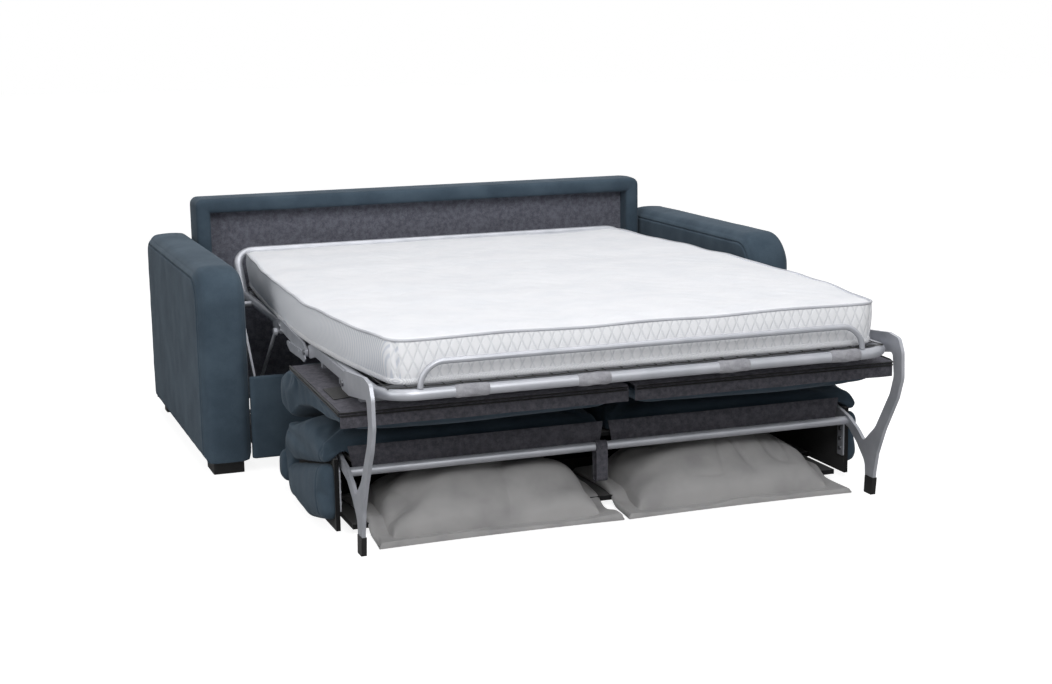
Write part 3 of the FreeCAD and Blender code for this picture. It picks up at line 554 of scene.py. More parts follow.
def swell(objects, pressure, cap, frames=20):
    """Inflates the given objects together as cloth, then limits each point's travel t to
    cap tanh(t / cap). Each comes with a mask of the points that are held."""
    starts = {}
    for obj, held in objects:
        starts[obj.name] = mesh_points(obj.data)
        group = obj.vertex_groups.new(name="held")
        group.add(np.nonzero(held)[0].tolist(), 1.0, "REPLACE")
        cloth = obj.modifiers.new("cloth", "CLOTH")
        settings = cloth.settings
        settings.quality = 5
        settings.mass = 0.35
        settings.use_pressure = True
        settings.uniform_pressure_force = pressure
        settings.effector_weights.gravity = 0.0
        settings.tension_stiffness = 12.0
        settings.compression_stiffness = 12.0
        settings.bending_stiffness = 1.5
        settings.vertex_group_mass = "held"
        cloth.point_cache.frame_start = 1
        cloth.point_cache.frame_end = frames
    scene = bpy.context.scene
    for step in range(1, frames + 1):
        scene.frame_set(step)
    for obj, _ in objects:
        mesh = evaluated(obj)
        obj.modifiers.clear()
        obj.vertex_groups.clear()
        start, end = starts[obj.name], mesh_points(mesh)
        travel = end - start
        length = np.linalg.norm(travel, axis=1)
        limit = cap * np.tanh(length / cap) / np.maximum(length, TINY)
        set_points(obj.data, start + travel * limit[:, None])
    scene.frame_set(1)


def held_points(node, points):
    """Mask of a cushion's points that stay put while it swells: its glued or hidden face."""
    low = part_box(node)[0]
    x, y, z = points.T
    if node == "right_seat_cushion":
        (foot_y, foot_z), (knee_y, knee_z) = board_top()
        base = foot_z + (knee_z - foot_z) * (y - foot_y) / (knee_y - foot_y)
        return (z > base - 0.026) & (y < knee_y)
    if node == "right_back_cushion":
        return (z < 0.232) & (y < -0.31) & (z > 0.2)
    if node == "right_side_pad":
        return x < low[0] + 0.006
    return z < low[2] + 0.004


def subdivided(obj, levels=1):
    """Replaces an object's mesh by its subdivision."""
    modifier = obj.modifiers.new("fine", "SUBSURF")
    modifier.levels = levels
    modifier.render_levels = levels
    mesh = evaluated(obj)
    obj.modifiers.clear()
    obj.data = mesh


def mirrored_mesh(mesh):
    """The same mesh on the other side of the middle, turned the right way out."""
    other = mesh.copy()
    points = mesh_points(other)
    points[:, 0] *= -1
    set_points(other, points)
    other.flip_normals()
    return other


# The fixed sofa.

def arm_stations(length, coarse):
    """Positions from 0 to length: closest about the sewn groove near each end, coarse between."""
    reach = ARM_STEPS[-1]
    inner = np.linspace(reach, length - reach, int((length - 2 * reach) / coarse) + 2)[1:-1]
    return np.concatenate([ARM_STEPS, inner, length - ARM_STEPS[::-1]])


def arm_cover(side):
    """One arm: a box grid whose upper corners are rounded in side view. Within edge_round of an
    edge a point's offsets, across and out, are scaled by the larger of the two over their length,
    which draws the edge onto a quarter round. The band round the arm is crowned by 1 - u^2, and
    both side panels have a sewn groove, a bell about its distance seam from the edge."""
    node = ("left", "right")[side > 0] + "_arm"
    low, high = (np.array(v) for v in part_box(node))
    size = high - low
    seam, seam_width, seam_depth = 0.026, 0.0022, 0.0042
    edge_round, crown, panel_puff, front_round, rear_round = 0.034, 0.010, 0.004, 0.105, 0.055
    pucker_depth, brushed_depth, band_unevenness = 0.0011, 0.0006, 0.0014
    points, quads = block_grid(low, arm_stations(size[0], 0.010), arm_stations(size[1], 0.012),
                               arm_stations(size[2], 0.012))
    mid = (low + high) / 2
    u = (points - mid) / (size / 2)
    inset_y = np.minimum(points[:, 1] - low[1], high[1] - points[:, 1])
    inset_z = np.minimum(points[:, 2] - low[2], high[2] - points[:, 2])
    inset = np.minimum(inset_y, inset_z)
    on_side = np.abs(np.abs(u[:, 0]) - 1) < ON_PLANE
    outward = np.where((inset_y < inset_z)[:, None], np.stack([np.sign(u[:, 1]), 0 * inset], 1),
                       np.stack([0 * inset, np.sign(u[:, 2])], 1))
    for corner_y, sign, radius in ((low[1], -1, front_round), (high[1], 1, rear_round)):
        centre = np.array([corner_y - sign * radius, high[2] - radius])
        offset = points[:, 1:] - centre
        zone = (offset[:, 0] * sign > 0) & (offset[:, 1] > 0)
        radial = offset / np.maximum(np.linalg.norm(offset, axis=1), TINY)[:, None]
        outward = np.where(zone[:, None], radial, outward)
        points = round_corner(points, 1, 2, (corner_y, high[2]), (sign, 1), radius)
    across = np.clip(edge_round - (size[0] / 2 - np.abs(points[:, 0] - mid[0])), 0, edge_round)
    out = np.clip(edge_round - inset, 0, edge_round)
    shrink = np.maximum(across, out) / np.maximum(np.hypot(across, out), TINY) - 1
    points[:, 0] += np.sign(u[:, 0]) * across * shrink
    points[:, 1:] += outward * (out * shrink)[:, None]
    sew = np.exp(-((inset - seam) / seam_width) ** 2)
    fall = (1 - np.abs(u[:, 1]) ** 6) * (1 - np.abs(u[:, 2]) ** 6)
    pucker = waves(points, 0.05, 17) * pucker_depth * np.exp(-(inset / 0.05) ** 2)
    brushed = waves(points * [1, 1, 0.35], 0.13, 5) * brushed_depth
    relief = panel_puff * fall - seam_depth * sew + pucker + brushed * fall
    points[:, 0] += np.sign(u[:, 0]) * on_side * relief
    band = (inset < ON_PLANE) * (outward[:, 1] > -0.5) * (1 - u[:, 0] ** 2)
    points[:, 1:] += outward * (band * (crown + waves(points, 0.14, 9) * band_unevenness))[:, None]
    return points, quads, node


def back_cover():
    """The fixed back's padded border: a bar section carried round an upside-down U. Each ring of
    the section lies at a share of the way from the outer outline, whose corners are rounded, to
    the inner one, whose corners are mitred. Its face has quarter-round lips and a half-sine crown."""
    low, high = (np.array(v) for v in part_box("back_surround"))
    border, radius, lip, rear_edge = 0.050, 0.026, 0.010, 0.006
    face_crown, top_bulge, unevenness = 0.004, 0.003, 0.0012
    depth = high[1] - low[1]
    half = high[0]
    inner_half, inner_top = half - border, high[2] - border
    steps = np.linspace(low[2], inner_top, 50)
    arc = np.linspace(0, math.pi / 2, 9)
    outer, inner = [], []
    outer += [(-half, z) for z in steps]
    inner += [(-inner_half, z) for z in steps]
    corner_centre = (-half + radius, high[2] - radius)
    rise = np.linspace(inner_top, high[2] - radius, 5)[1:-1]
    outer += [(-half, z) for z in rise]
    inner += [(-inner_half, inner_top)] * len(rise)
    outer += [(corner_centre[0] - radius * math.cos(turn), corner_centre[1] + radius * math.sin(turn))
              for turn in arc]
    inner += [(-inner_half, inner_top)] * len(arc)
    run = np.linspace(-half + radius, -inner_half, 4)[1:-1]
    outer += [(x, high[2]) for x in run]
    inner += [(-inner_half, inner_top)] * len(run)
    across = np.linspace(-inner_half, 0, 70)
    outer += [(x, high[2]) for x in across]
    inner += [(x, inner_top) for x in across]
    outer, inner = np.array(outer), np.array(inner)
    outer = np.concatenate([outer, (outer * [-1, 1])[:-1][::-1]])
    inner = np.concatenate([inner, (inner * [-1, 1])[:-1][::-1]])
    rings = []
    for share in (0, .02, .06, .12, .2, .35, .5, .65, .8, .88, .94, .98, 1.0):
        edge = min(share, 1 - share) * border
        drop = lip - math.sqrt(max(lip ** 2 - max(lip - edge, 0.0) ** 2, 0.0))
        crown = face_crown * math.sin(math.pi * share)
        plan = outer + (inner - outer) * share
        rings.append(np.stack([plan[:, 0], np.full(len(plan), low[1] + drop - crown), plan[:, 1]], 1))
    for y in np.linspace(low[1] + lip, high[1] - rear_edge, 7):
        rings.append(np.stack([inner[:, 0], np.full(len(inner), y), inner[:, 1]], 1))
    for share in (1.0, 0.5, 0.0):
        plan = outer + (inner - outer) * share
        rings.append(np.stack([plan[:, 0], np.full(len(plan), high[1]), plan[:, 1]], 1))
    for y in np.linspace(high[1] - rear_edge, low[1] + lip, 9):
        bulge = top_bulge * math.sin(math.pi * (y - low[1]) / depth)
        grown = outer + np.stack([np.sign(outer[:, 0]) * (np.abs(outer[:, 0]) > half - radius),
                                  (outer[:, 1] > high[2] - radius) * 1.0], 1) * bulge
        rings.append(np.stack([grown[:, 0], np.full(len(outer), y), grown[:, 1]], 1))
    grid = np.stack(rings, 1)
    uneven = waves(grid.reshape(-1, 3), 0.3, 8).reshape(grid.shape[:2])
    grid[:, 2:12, 1] += uneven[:, 2:12] * unevenness
    return grid_mesh(grid, wrap_v=True, caps=True)


def lining_sheet():
    """Felt over the recess: a thin slab whose face carries slight slack wrinkles."""
    low, high = (np.array(v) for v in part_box("back_lining"))
    size = high - low
    points, quads = block_grid(low, stations(size[0], 0.02, 0.01, 0.012), [0.0, size[1]],
                               stations(size[2], 0.02, 0.01, 0.012))
    front = points[:, 1] < low[1] + ON_PLANE
    rim = np.minimum(np.minimum(points[:, 0] - low[0], high[0] - points[:, 0]), high[2] - points[:, 2])
    slack = np.clip(rim / 0.05, 0, 1)
    broad, narrow, proud = 0.0035, 0.0015, 0.002
    drape = waves(points * [1, 1, 0.45], 0.16, 3) * broad + waves(points * [0.5, 1, 1.0], 0.09, 11) * narrow
    points[:, 1] += front * (-proud + slack * drape)
    return points, quads


def rail_cover():
    """Front rail: a box grid with softened edges, its two faces crowned by 1 - u^2 in height."""
    low, high = (np.array(v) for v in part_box("front_rail"))
    size = high - low
    edge_round, crown = 0.007, 0.003
    points, quads = block_grid(low, stations(size[0], 0.02, 0.01, 0.03),
                               stations(size[1], 0.006, 0.002, 0.004), stations(size[2], 0.02, 0.004, 0.015))
    u = (points - (low + high) / 2) / (size / 2)
    points = soften(points, low, high, edge_round)
    points[:, 1] += np.sign(u[:, 1]) * (np.abs(u[:, 1]) > 0.999) * crown * (1 - u[:, 2] ** 2)
    return points, quads


# Pillows, felt panels and zips.

def closed_slab(upper, under):
    """Two (u, v) grids of points, the second below the first, joined round their rims."""
    nu, nv = upper.shape[:2]
    cell = np.arange(nu * nv).reshape(nu, nv)
    rim = np.concatenate([cell[:, 0], cell[-1, 1:], cell[::-1, -1][1:], cell[0, ::-1][1:-1]])
    ahead = np.roll(rim, -1)
    wall = np.stack([rim, ahead, ahead + nu * nv, rim + nu * nv], 1)[:, ::-1]
    top = cell_quads(cell)
    return (np.concatenate([upper.reshape(-1, 3), under.reshape(-1, 3)]),
            np.concatenate([top, top[:, ::-1] + nu * nv, wall]))


def sheet_solid(grid, thickness):
    """A (u, v) grid of points made into a closed slab: its second side lies thickness below, along
    the grid's own normal, the cross product of its two directions."""
    normal = np.cross(np.gradient(grid, axis=0), np.gradient(grid, axis=1))
    normal /= np.maximum(np.linalg.norm(normal, axis=2), TINY)[:, :, None]
    return closed_slab(grid, grid - normal * thickness)


def pillow_form(seed):
    """A pillow with a flat hem. Inside the hem its height is
    lift ((1 - |a|^2.4)(1 - |b|^2.2))^0.42, with a and b from -1 to 1 across it, over a base that
    steps up onto the compartment's floor. Broad folds and sharp creases run over it, and its
    sides draw in between the corners."""
    low, high = (np.array(v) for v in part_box("right_pillow"))
    rear_gap, hem, hem_thick, step_y, step_rise, head_room = 0.020, 0.048, 0.005, -0.752, 0.032, 0.012
    fold_height, crease_depth, ripple_height = 0.034, 0.012, 0.020
    high[1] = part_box("pillow_box")[1][1] - PILLOW_TRAVEL - rear_gap
    middle, half = (low + high) / 2, (high - low) / 2
    lift = high[2] - low[2] - step_rise - head_room
    u, v = np.meshgrid(np.linspace(-1, 1, 150), np.linspace(-1, 1, 110), indexing="ij")
    a = np.clip(u * half[0] / (half[0] - hem), -1, 1)
    b = np.clip(v * half[1] / (half[1] - hem), -1, 1)
    body = np.maximum((1 - np.abs(a) ** 2.4) * (1 - np.abs(b) ** 2.2), 0) ** 0.42
    x = middle[0] + u * half[0] * (1 - 0.035 * (1 - v ** 2) - 0.004)
    y = middle[1] + v * half[1] * (1 - 0.045 * (1 - u ** 2) - 0.004)
    flat = np.stack([x, y, 0 * x], 2).reshape(-1, 3)
    rise = 1 / (1 + np.exp(-(y - step_y) / 0.012))
    base = low[2] + 0.001 + step_rise * rise
    creases = np.clip(1 - np.abs(waves(flat * [1.0, 0.45, 1], 0.13, seed)) * 5, 0, 1) ** 2
    folds = waves(flat * [0.6, 1.0, 1], 0.15, seed + 3) * fold_height - creases * crease_depth
    folds = folds.reshape(x.shape)
    edge = np.maximum(np.abs(u), np.abs(v))
    ripple = (waves(flat, 0.16, seed + 7).reshape(x.shape) * 0.5 + 0.5) * ripple_height
    ripple = ripple * np.clip((edge - 0.7) / 0.3, 0, 1)
    crown = lift * body * (1 - 0.18 * np.clip(-v, 0, 1)) + folds * np.sqrt(body) * (1 - 0.35 * body)
    inner = np.clip((1 - edge) / 0.02, 0, 1)
    upper = base + hem_thick + np.maximum(crown, 0) + ripple * (1 - body) * inner
    lower = base + ripple * (1 - body) * 0.8 * inner
    upper = np.minimum(upper, high[2])
    return closed_slab(np.stack([x, y, upper], 2), np.stack([x, y, lower], 2))


def board_top():
    """Rear and front ends of a seat board's upper face: (y, z) pairs, the foot end first."""
    points = mesh_points(NODES["right_seat_board"].data)
    ends = []
    for y in (points[:, 1].min(), points[:, 1].max()):
        near = points[np.abs(points[:, 1] - y) < 0.001]
        ends.append((y, near[:, 2].max()))
    return ends


def felt_section(drop):
    """Side run of the felt over a seat board: along its upper face, round the foot end and down
    by drop. Returns (y, z) points."""
    (_, foot_z), (knee_y, knee_z) = board_top()
    lift, turn = 0.0015, 0.010
    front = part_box("right_seat_cushion")[0][1] - 0.005
    along = np.linspace(1, 0, FELT_FLAT)
    flat = np.stack([front + turn + (knee_y - front - turn) * along,
                     foot_z + lift + (knee_z - foot_z) * along], 1)
    angle = np.linspace(0, math.pi / 2, FELT_BEND + 1)[1:]
    bend = np.stack([front + turn - turn * np.sin(angle), flat[-1, 1] - turn + turn * np.cos(angle)], 1)
    fall = np.linspace(0, 1, 10)[1:]
    down = np.stack([np.full(len(fall), front), bend[-1, 1] - fall * drop], 1)
    return np.concatenate([flat, bend, down])


def seat_felt(side):
    """Felt over one seat board and down its front edge: felt_section carried along x, with a
    slight seeded unevenness, as a slab."""
    low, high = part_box("right_seat_cushion")
    run = felt_section(FELT_DROP)
    xs = np.linspace(low[0] + 0.008, high[0] - 0.006, 90)
    grid = np.zeros((len(run), len(xs), 3))
    grid[:, :, 0] = xs[None, :]
    grid[:, :, 1] = run[:, :1]
    grid[:, :, 2] = run[:, 1:]
    ease = waves(grid.reshape(-1, 3), 0.16, 41).reshape(grid.shape[:2])
    grid[:, :, 2] += ease * 0.0012
    grid[:, :, 1] -= np.clip(ease, 0, 1) * 0.002 * (np.arange(len(run)) > FELT_FLAT + FELT_BEND)[:, None]
    grid[:, :, 0] *= side
    return sheet_solid(grid, 0.003 * side)


def zip_runs(side):
    """The two edges of a zip's tape, a zip's width apart: along the seat felt's outer edge, round
    the corner by a quarter circle of radius turn, and across the front."""
    low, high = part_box("right_seat_cushion")
    zip_width, edge_radius, turn = 0.008, 0.0024, 0.012
    run = felt_section(0.004)
    x_edge = high[0] - 0.002
    front_y, front_z = run[-1, 0] - 0.002, run[FELT_FLAT - 1, 1] - 0.004
    angle = np.linspace(0, math.pi / 2, 6)[1:]
    xs = np.linspace(x_edge - turn, low[0] + 0.012, 60)[1:]
    parts = []
    for spread in (0.0, zip_width):
        side_run = np.array([(x_edge + 0.001, y, z - spread) for y, z in run[:FELT_FLAT]])
        side_run = side_run[side_run[:, 1] > front_y + turn]
        corner = np.stack([x_edge - turn + turn * np.cos(angle), front_y + turn - turn * np.sin(angle),
                           np.full(len(angle), front_z - spread)], 1)
        across = np.array([(x, front_y, front_z - spread) for x in xs])
        path = np.concatenate([side_run, corner, across]) * [side, 1, 1]
        parts.append(swept_tube(path, ring_of(edge_radius, 8)))
    return joined(parts)


def front_felt(side):
    """Felt band along a back cushion's foot end: a slab whose lower edge droops by a half sine
    and whose face bellies by a half sine across its height."""
    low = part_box("right_back_cushion")[0]
    top_z, bottom_z, droop, inner_x, outer_x = 0.252, 0.188, 0.010, low[0] + 0.012, 0.744
    proud, thickness = 0.0012, 0.004
    t, v = np.meshgrid(np.linspace(0, 1, 110), np.linspace(0, 1, 12), indexing="ij")
    x = inner_x + (outer_x - inner_x) * t + (v - 0.5) * 0.012 * (1 - 2 * t)
    base = bottom_z - droop * np.sin(math.pi * t) + 0.004 * np.sin(9 * t)
    z = top_z + (base - top_z) * v
    uneven = waves(np.stack([x, z, 0 * x], 2).reshape(-1, 3), 0.14, 51).reshape(x.shape)
    belly = 0.0028 * np.sin(math.pi * v) + 0.001 * uneven
    grid = np.stack([x * side, low[1] - proud - belly, z], 2)
    return sheet_solid(grid, thickness * side)


def hinge_patch(side):
    """The bare patch in the seat felt under a leg's hinge: a thin slanted plate on the felt."""
    (foot_y, foot_z), (knee_y, knee_z) = board_top()
    x0, x1, y0, y1 = 0.715, 0.798, -0.815, -0.690
    slant, lift, thickness = 0.02, 0.0042, 0.0015
    u, v = np.meshgrid(np.linspace(0, 1, 4), np.linspace(0, 1, 4), indexing="ij")
    x = x0 + (x1 - x0) * u
    y = y0 + (y1 - y0) * v + slant * (1 - u)
    z = foot_z + (knee_z - foot_z) * (y - foot_y) / (knee_y - foot_y) + lift
    return sheet_solid(np.stack([x * side, y, z], 2), thickness * side)


def side_seam(points, normals, seam_y, reach_x):
    """Draws a sewn line into a soft form's outer side: points beyond reach_x go in along their
    normals by a bell about the plane y = seam_y."""
    depth, width = 0.0035, 0.0028
    side = 1 / (1 + np.exp(-(np.abs(points[:, 0]) - reach_x) / 0.004))
    bell = np.exp(-((points[:, 1] - seam_y) / width) ** 2)
    return points - normals * (bell * side * depth)[:, None]


# The mattress.

def mattress_form():
    """The mattress's nominal box, before its long sides are curved: low and high corners."""
    foot_low, foot_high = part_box("mattress_foot")
    head_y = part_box("mattress_head")[1][1]
    return (np.array([-MATTRESS_HALF, foot_low[1], foot_low[2]]),
            np.array([MATTRESS_HALF, head_y, foot_high[2]]))


def waist(y, level):
    """The mattress's half width at y over its nominal one: 1 + gain (1 - |t|^1.8), with t from -1
    at the foot over 0 at the widest place to 1 at the head. level is 0 at the bottom, where it is
    narrower by the taper, and 1 at the top."""
    peak, foot, head, gain = -0.30, 0.74, 1.15, 0.092
    t = np.where(y < peak, (y - peak) / foot, (y - peak) / head)
    return 1 + gain * (1 - np.minimum(np.abs(t), 1) ** 1.8) - MATTRESS_TAPER * (1 - level)


def edge_waves(points):
    """Slow rise and fall of the mattress's sewn edges, in metres."""
    return waves(points * [1, 1, 0], 0.33, 12) * 0.0055


def mattress_part(low, high, y0, y1):
    """One stretch of the mattress from y0 to y1: a softened box grid with rounded plan corners,
    quilted on top by a product of bent sines, its borders bellied by a half sine between their
    tapes, its long sides curved by waist. The face of a cut sinks with the top that it meets."""
    size = high - low
    edge_round, quilt_depth, top_waves, plump_rise = 0.016, 0.0022, 0.002, 0.006
    belly_depth, belly_waves, end_zone = 0.006, 0.0022, 0.01
    edge = np.array([0, .0025, .006, .010, .014, .018, .024, .032])
    zs = np.concatenate([edge[:6], np.linspace(0.022, size[2] - 0.022, 14), size[2] - edge[:6][::-1]])
    xs = np.concatenate([edge, np.linspace(0.042, size[0] - 0.042, 150), size[0] - edge[::-1]])
    full = np.concatenate([edge, np.linspace(0.042, size[1] - 0.042, 200), size[1] - edge[::-1]])
    ys = full[(full > y0 - low[1] + 1e-4) & (full < y1 - low[1] - 1e-4)]
    ys = np.concatenate([[y0 - low[1]], ys, [y1 - low[1]]])
    points, quads = block_grid(low, xs, ys, zs)
    flat = points.copy()
    points = soften(points, low, high, edge_round)
    x, y = flat[:, 0], flat[:, 1]
    top = flat[:, 2] > high[2] - ON_PLANE
    rim = np.minimum(np.minimum(x - low[0], high[0] - x), np.minimum(y - low[1], high[1] - y))
    across = np.sin(2 * math.pi * (x / 0.13 + 0.45 * np.sin(2 * math.pi * y / 0.21)))
    along = np.sin(2 * math.pi * (y / 0.16 + 0.35 * np.sin(2 * math.pi * x / 0.27)))
    quilt = 1 - np.abs(across * along) ** 0.5
    v = (flat[:, 2] - low[2]) / size[2]
    cuts = [plane for plane in (y0, y1) if low[1] + end_zone < plane < high[1] - end_zone]
    on_cut = np.any([np.abs(y - plane) < ON_PLANE for plane in cuts], axis=0)
    share = np.where(on_cut & (np.abs(x) < high[0] - ON_PLANE), np.clip(2 * v - 1, 0, 1), top * 1.0)
    plump = plump_rise * np.clip(rim / 0.10, 0, 1) ** 0.5 - plump_rise
    sunk = np.clip(rim / 0.03, 0, 1) * -quilt_depth * quilt
    points[:, 2] += share * (sunk + waves(flat, 0.35, 21) * top_waves + plump)
    points[:, 2] += edge_waves(flat) * np.clip(v * 1.6 - 0.6, 0, 1)
    border = np.sin(math.pi * v)
    belly = border * (belly_depth + waves(flat, 0.13, 31) * belly_waves)
    side_x = np.abs(np.abs(x) - high[0]) < ON_PLANE
    side_y = (np.abs(y - low[1]) < ON_PLANE) | (np.abs(y - high[1]) < ON_PLANE)
    points[:, 0] += side_x * np.sign(x) * belly
    points[:, 1] += side_y * np.sign(y - low[1] - size[1] / 2) * belly
    for sx in (-1, 1):
        for sy in (-1, 1):
            corner = (sx * high[0], (low[1], high[1])[sy > 0])
            points = round_corner(points, 0, 1, corner, (sx, sy), MATTRESS_CORNER)
    points[:, 0] *= waist(points[:, 1], v)
    for plane in cuts:
        points[np.abs(y - plane) < ON_PLANE, 1] = plane
    return points, quads


def border_faces(obj, materials):
    """Gives the long sides' faces the first of two cloths and the ends' faces the second."""
    mesh = obj.data
    for material in materials:
        mesh.materials.append(material)
    normals = np.empty(len(mesh.polygons) * 3)
    mesh.polygons.foreach_get("normal", normals)
    normals = np.abs(normals.reshape(-1, 3))
    index = np.where(normals[:, 2] > 0.72, 0, np.where(normals[:, 0] > normals[:, 1], 1, 2))
    mesh.polygons.foreach_set("material_index", index.astype(np.int32))


def tape_path(low, high, z, level, y0, y1):
    """The outline of one half of the mattress at height z, as an open run of straight lines and
    quarter circles from one end of its cut to the other. level is 0 at the bottom and 1 at the
    top, where the edge rises and falls."""
    radius, overlap = MATTRESS_CORNER, 0.004
    sign = 1 if y1 == high[1] else -1
    end = high[1] if sign > 0 else low[1]
    start = (y0 if sign > 0 else y1) - sign * overlap
    half = high[0]
    arc = np.linspace(0, math.pi / 2, 12)
    straight = np.linspace(start, end - sign * radius, 150)
    left = np.stack([np.full(150, -half), straight], 1)
    turn = np.stack([-half + radius - radius * np.cos(arc),
                     end - sign * radius + sign * radius * np.sin(arc)], 1)
    across = np.stack([np.linspace(-half + radius, half - radius, 210), np.full(210, end)], 1)
    run = np.concatenate([left, turn[1:], across[1:-1], (turn * [-1, 1])[::-1], (left * [-1, 1])[::-1][1:]])
    path = np.concatenate([run, np.full((len(run), 1), z)], 1)
    path[:, 2] += edge_waves(path) * level
    path[:, 0] *= waist(path[:, 1], level)
    return path


# The net, the felt wraps and shared parts.

def net_wires(low, high, pitch, radius):
    """Crossed wires over a rectangle, as one mesh. Each wire is a square tube whose height is a
    cosine with a period of two pitches, in step with its neighbours so that crossings alternate."""
    z = (low[2] + high[2]) / 2
    rise = radius * 0.9
    ring = ring_of(radius * 1.414, 4)
    wires = []
    for axis in (0, 1):
        other = 1 - axis
        count = max(2, int(round((high[other] - low[other]) / pitch)))
        lines = np.linspace(low[other] + radius, high[other] - radius, count + 1)
        steps = int(round((high[axis] - low[axis]) / pitch)) * 6 + 1
        along = np.linspace(low[axis] + radius, high[axis] - radius, steps)
        for index, place in enumerate(lines):
            wave = rise * np.cos(math.pi * (along - along[0]) / pitch + math.pi * (index + axis))
            path = np.zeros((steps, 3))
            path[:, axis], path[:, other], path[:, 2] = along, place, z + wave
            wires.append(swept_tube(path, ring))
    return joined(wires)


def joined(parts):
    """Several (points, faces) pairs as one."""
    points, faces, offset = [], [], 0
    for part, quads in parts:
        points.append(np.asarray(part))
        faces += [tuple(i + offset for i in face) for face in quads]
        offset += len(part)
    return np.concatenate(points), faces


def ring_of(radius, count, stretch=1.0):
    """A circle of (across, up) offsets, its height multiplied by stretch."""
    angle = np.linspace(0, 2 * math.pi, count, endpoint=False)
    return np.stack([radius * np.cos(angle), radius * stretch * np.sin(angle)], 1)


def wrap_sleeve(x, y, z, half, radius, seed):
    """A felt sleeve round the foot tube: a circle about the tube whose radius grows by a sum of
    sines round and along it, closed by a turned-in lip at both ends."""
    count, felt, broad, fine, lip_depth = 48, 0.0018, 0.0006, 0.0005, 0.0008
    angle = np.linspace(0, 2 * math.pi, count, endpoint=False)
    shares = (-1, -.985, -.94, -.8, -.6, -.4, -.2, 0, .2, .4, .6, .8, .94, .985, 1.0)
    phase = np.random.default_rng(seed).uniform(0, 2 * math.pi, 4)

    def ring_at(share, reach):
        return np.stack([np.full(count, x + share * half), y + reach * np.cos(angle),
                         z + reach * np.sin(angle)], 1)

    rings = [ring_at(-1, radius - lip_depth)]
    for share in shares:
        swell_here = felt + broad * np.sin(3 * angle + phase[0] + 4 * share)
        swell_here = swell_here + fine * np.sin(7 * angle + phase[1] - 6 * share)
        rings.append(ring_at(share, radius + (1 - abs(share) ** 12) * swell_here))
    rings.append(ring_at(1, radius - lip_depth))
    return grid_mesh(np.stack(rings), wrap_v=True, caps=True)


# Settings and operators.

class SofaFinish(bpy.types.PropertyGroup):
    """Colours of the sofa's cloth."""
    cloth: bpy.props.FloatVectorProperty(name="Cloth", description="Microfibre in the shade, 0 to 255",
                                         size=3, default=(52, 65, 77), min=0, max=255)
    cloth_lit: bpy.props.FloatVectorProperty(name="Cloth, brushed",
                                             description="Microfibre with its pile brushed up, 0 to 255",
                                             size=3, default=(86, 102, 115), min=0, max=255)


class SofaSizes(bpy.types.PropertyGroup):
    """Sizes of the soft work."""
    voxel: bpy.props.FloatProperty(name="Cushion mesh", description="Edge of the even cushion mesh",
                                   default=0.010, min=0.004, max=0.03, unit="LENGTH")
    plump: bpy.props.FloatProperty(name="Plumpness", description="Pressure inside the cushions", default=4.0,
                                   min=0.0, max=12.0)
    travel: bpy.props.FloatProperty(name="Swell limit", description="How far the cushions' cloth may swell",
                                    default=0.014, min=0.0, max=0.03, unit="LENGTH")
    net_pitch: bpy.props.FloatProperty(name="Net pitch", description="Distance between the net's wires",
                                       default=0.05, min=0.02, max=0.15, unit="LENGTH")


FINISHES = {}
BARE_NODES = {
    "paint": ["head_frame", "head_cross_tubes", "foot_frame", "foot_cross_tubes", "middle_bars",
              "right_head_plate", "left_head_plate", "right_middle_plate", "left_middle_plate",
              "right_foot_plate", "left_foot_plate", "control_plates", "lift_brackets", "stay_rods",
              "front_lift_links", "rear_lift_links", "right_leg", "left_leg", "lower_tube",
              "retaining_bar", "seat_bearers", "right_backrest_bracket", "left_backrest_bracket"],
    "zinc": ["base_pins", "hinge_pins", "leg_bolts", "bracket_bolts", "cross_rail", "right_side_rail",
             "left_side_rail"],
    "plastic": ["arm_feet", "right_leg_cap", "left_leg_cap"],
    "lining": ["back_board", "pillow_box"],
}


class SOFA_OT_finishes(bpy.types.Operator):
    """Makes the finishes and gives the bare frame nodes theirs"""
    bl_idname = "sofa.finishes"
    bl_label = "Finishes"

    def execute(self, context):
        FINISHES.update(make_materials(context.scene.sofa_finish))
        for finish, names in BARE_NODES.items():
            for name in names:
                mesh = NODES[name].data
                mesh.materials.clear()
                mesh.materials.append(FINISHES[finish])
        return {"FINISHED"}


class SOFA_OT_fixed_sofa(bpy.types.Operator):
    """Upholsters the arms, the fixed back, its felt lining and the front rail"""
    bl_idname = "sofa.fixed_sofa"
    bl_label = "Fixed sofa"

    def execute(self, context):
        m = FINISHES
        for side in (-1, 1):
            points, quads, node = arm_cover(side)
            arm = make_object(node + "_cover", points, quads, "sofa_base", m["microfibre"], node)
        points, faces = back_cover()
        back = make_object("back_border_cover", points, faces, "sofa_base", m["microfibre"], "back_surround")
        points, quads = lining_sheet()
        make_object("back_felt", points, quads, "sofa_base", m["lining_felt"], "back_lining")
        points, quads = rail_cover()
        rail = make_object("front_rail_cover", points, quads, "sofa_base", m["microfibre"], "front_rail")
        return {"FINISHED"}


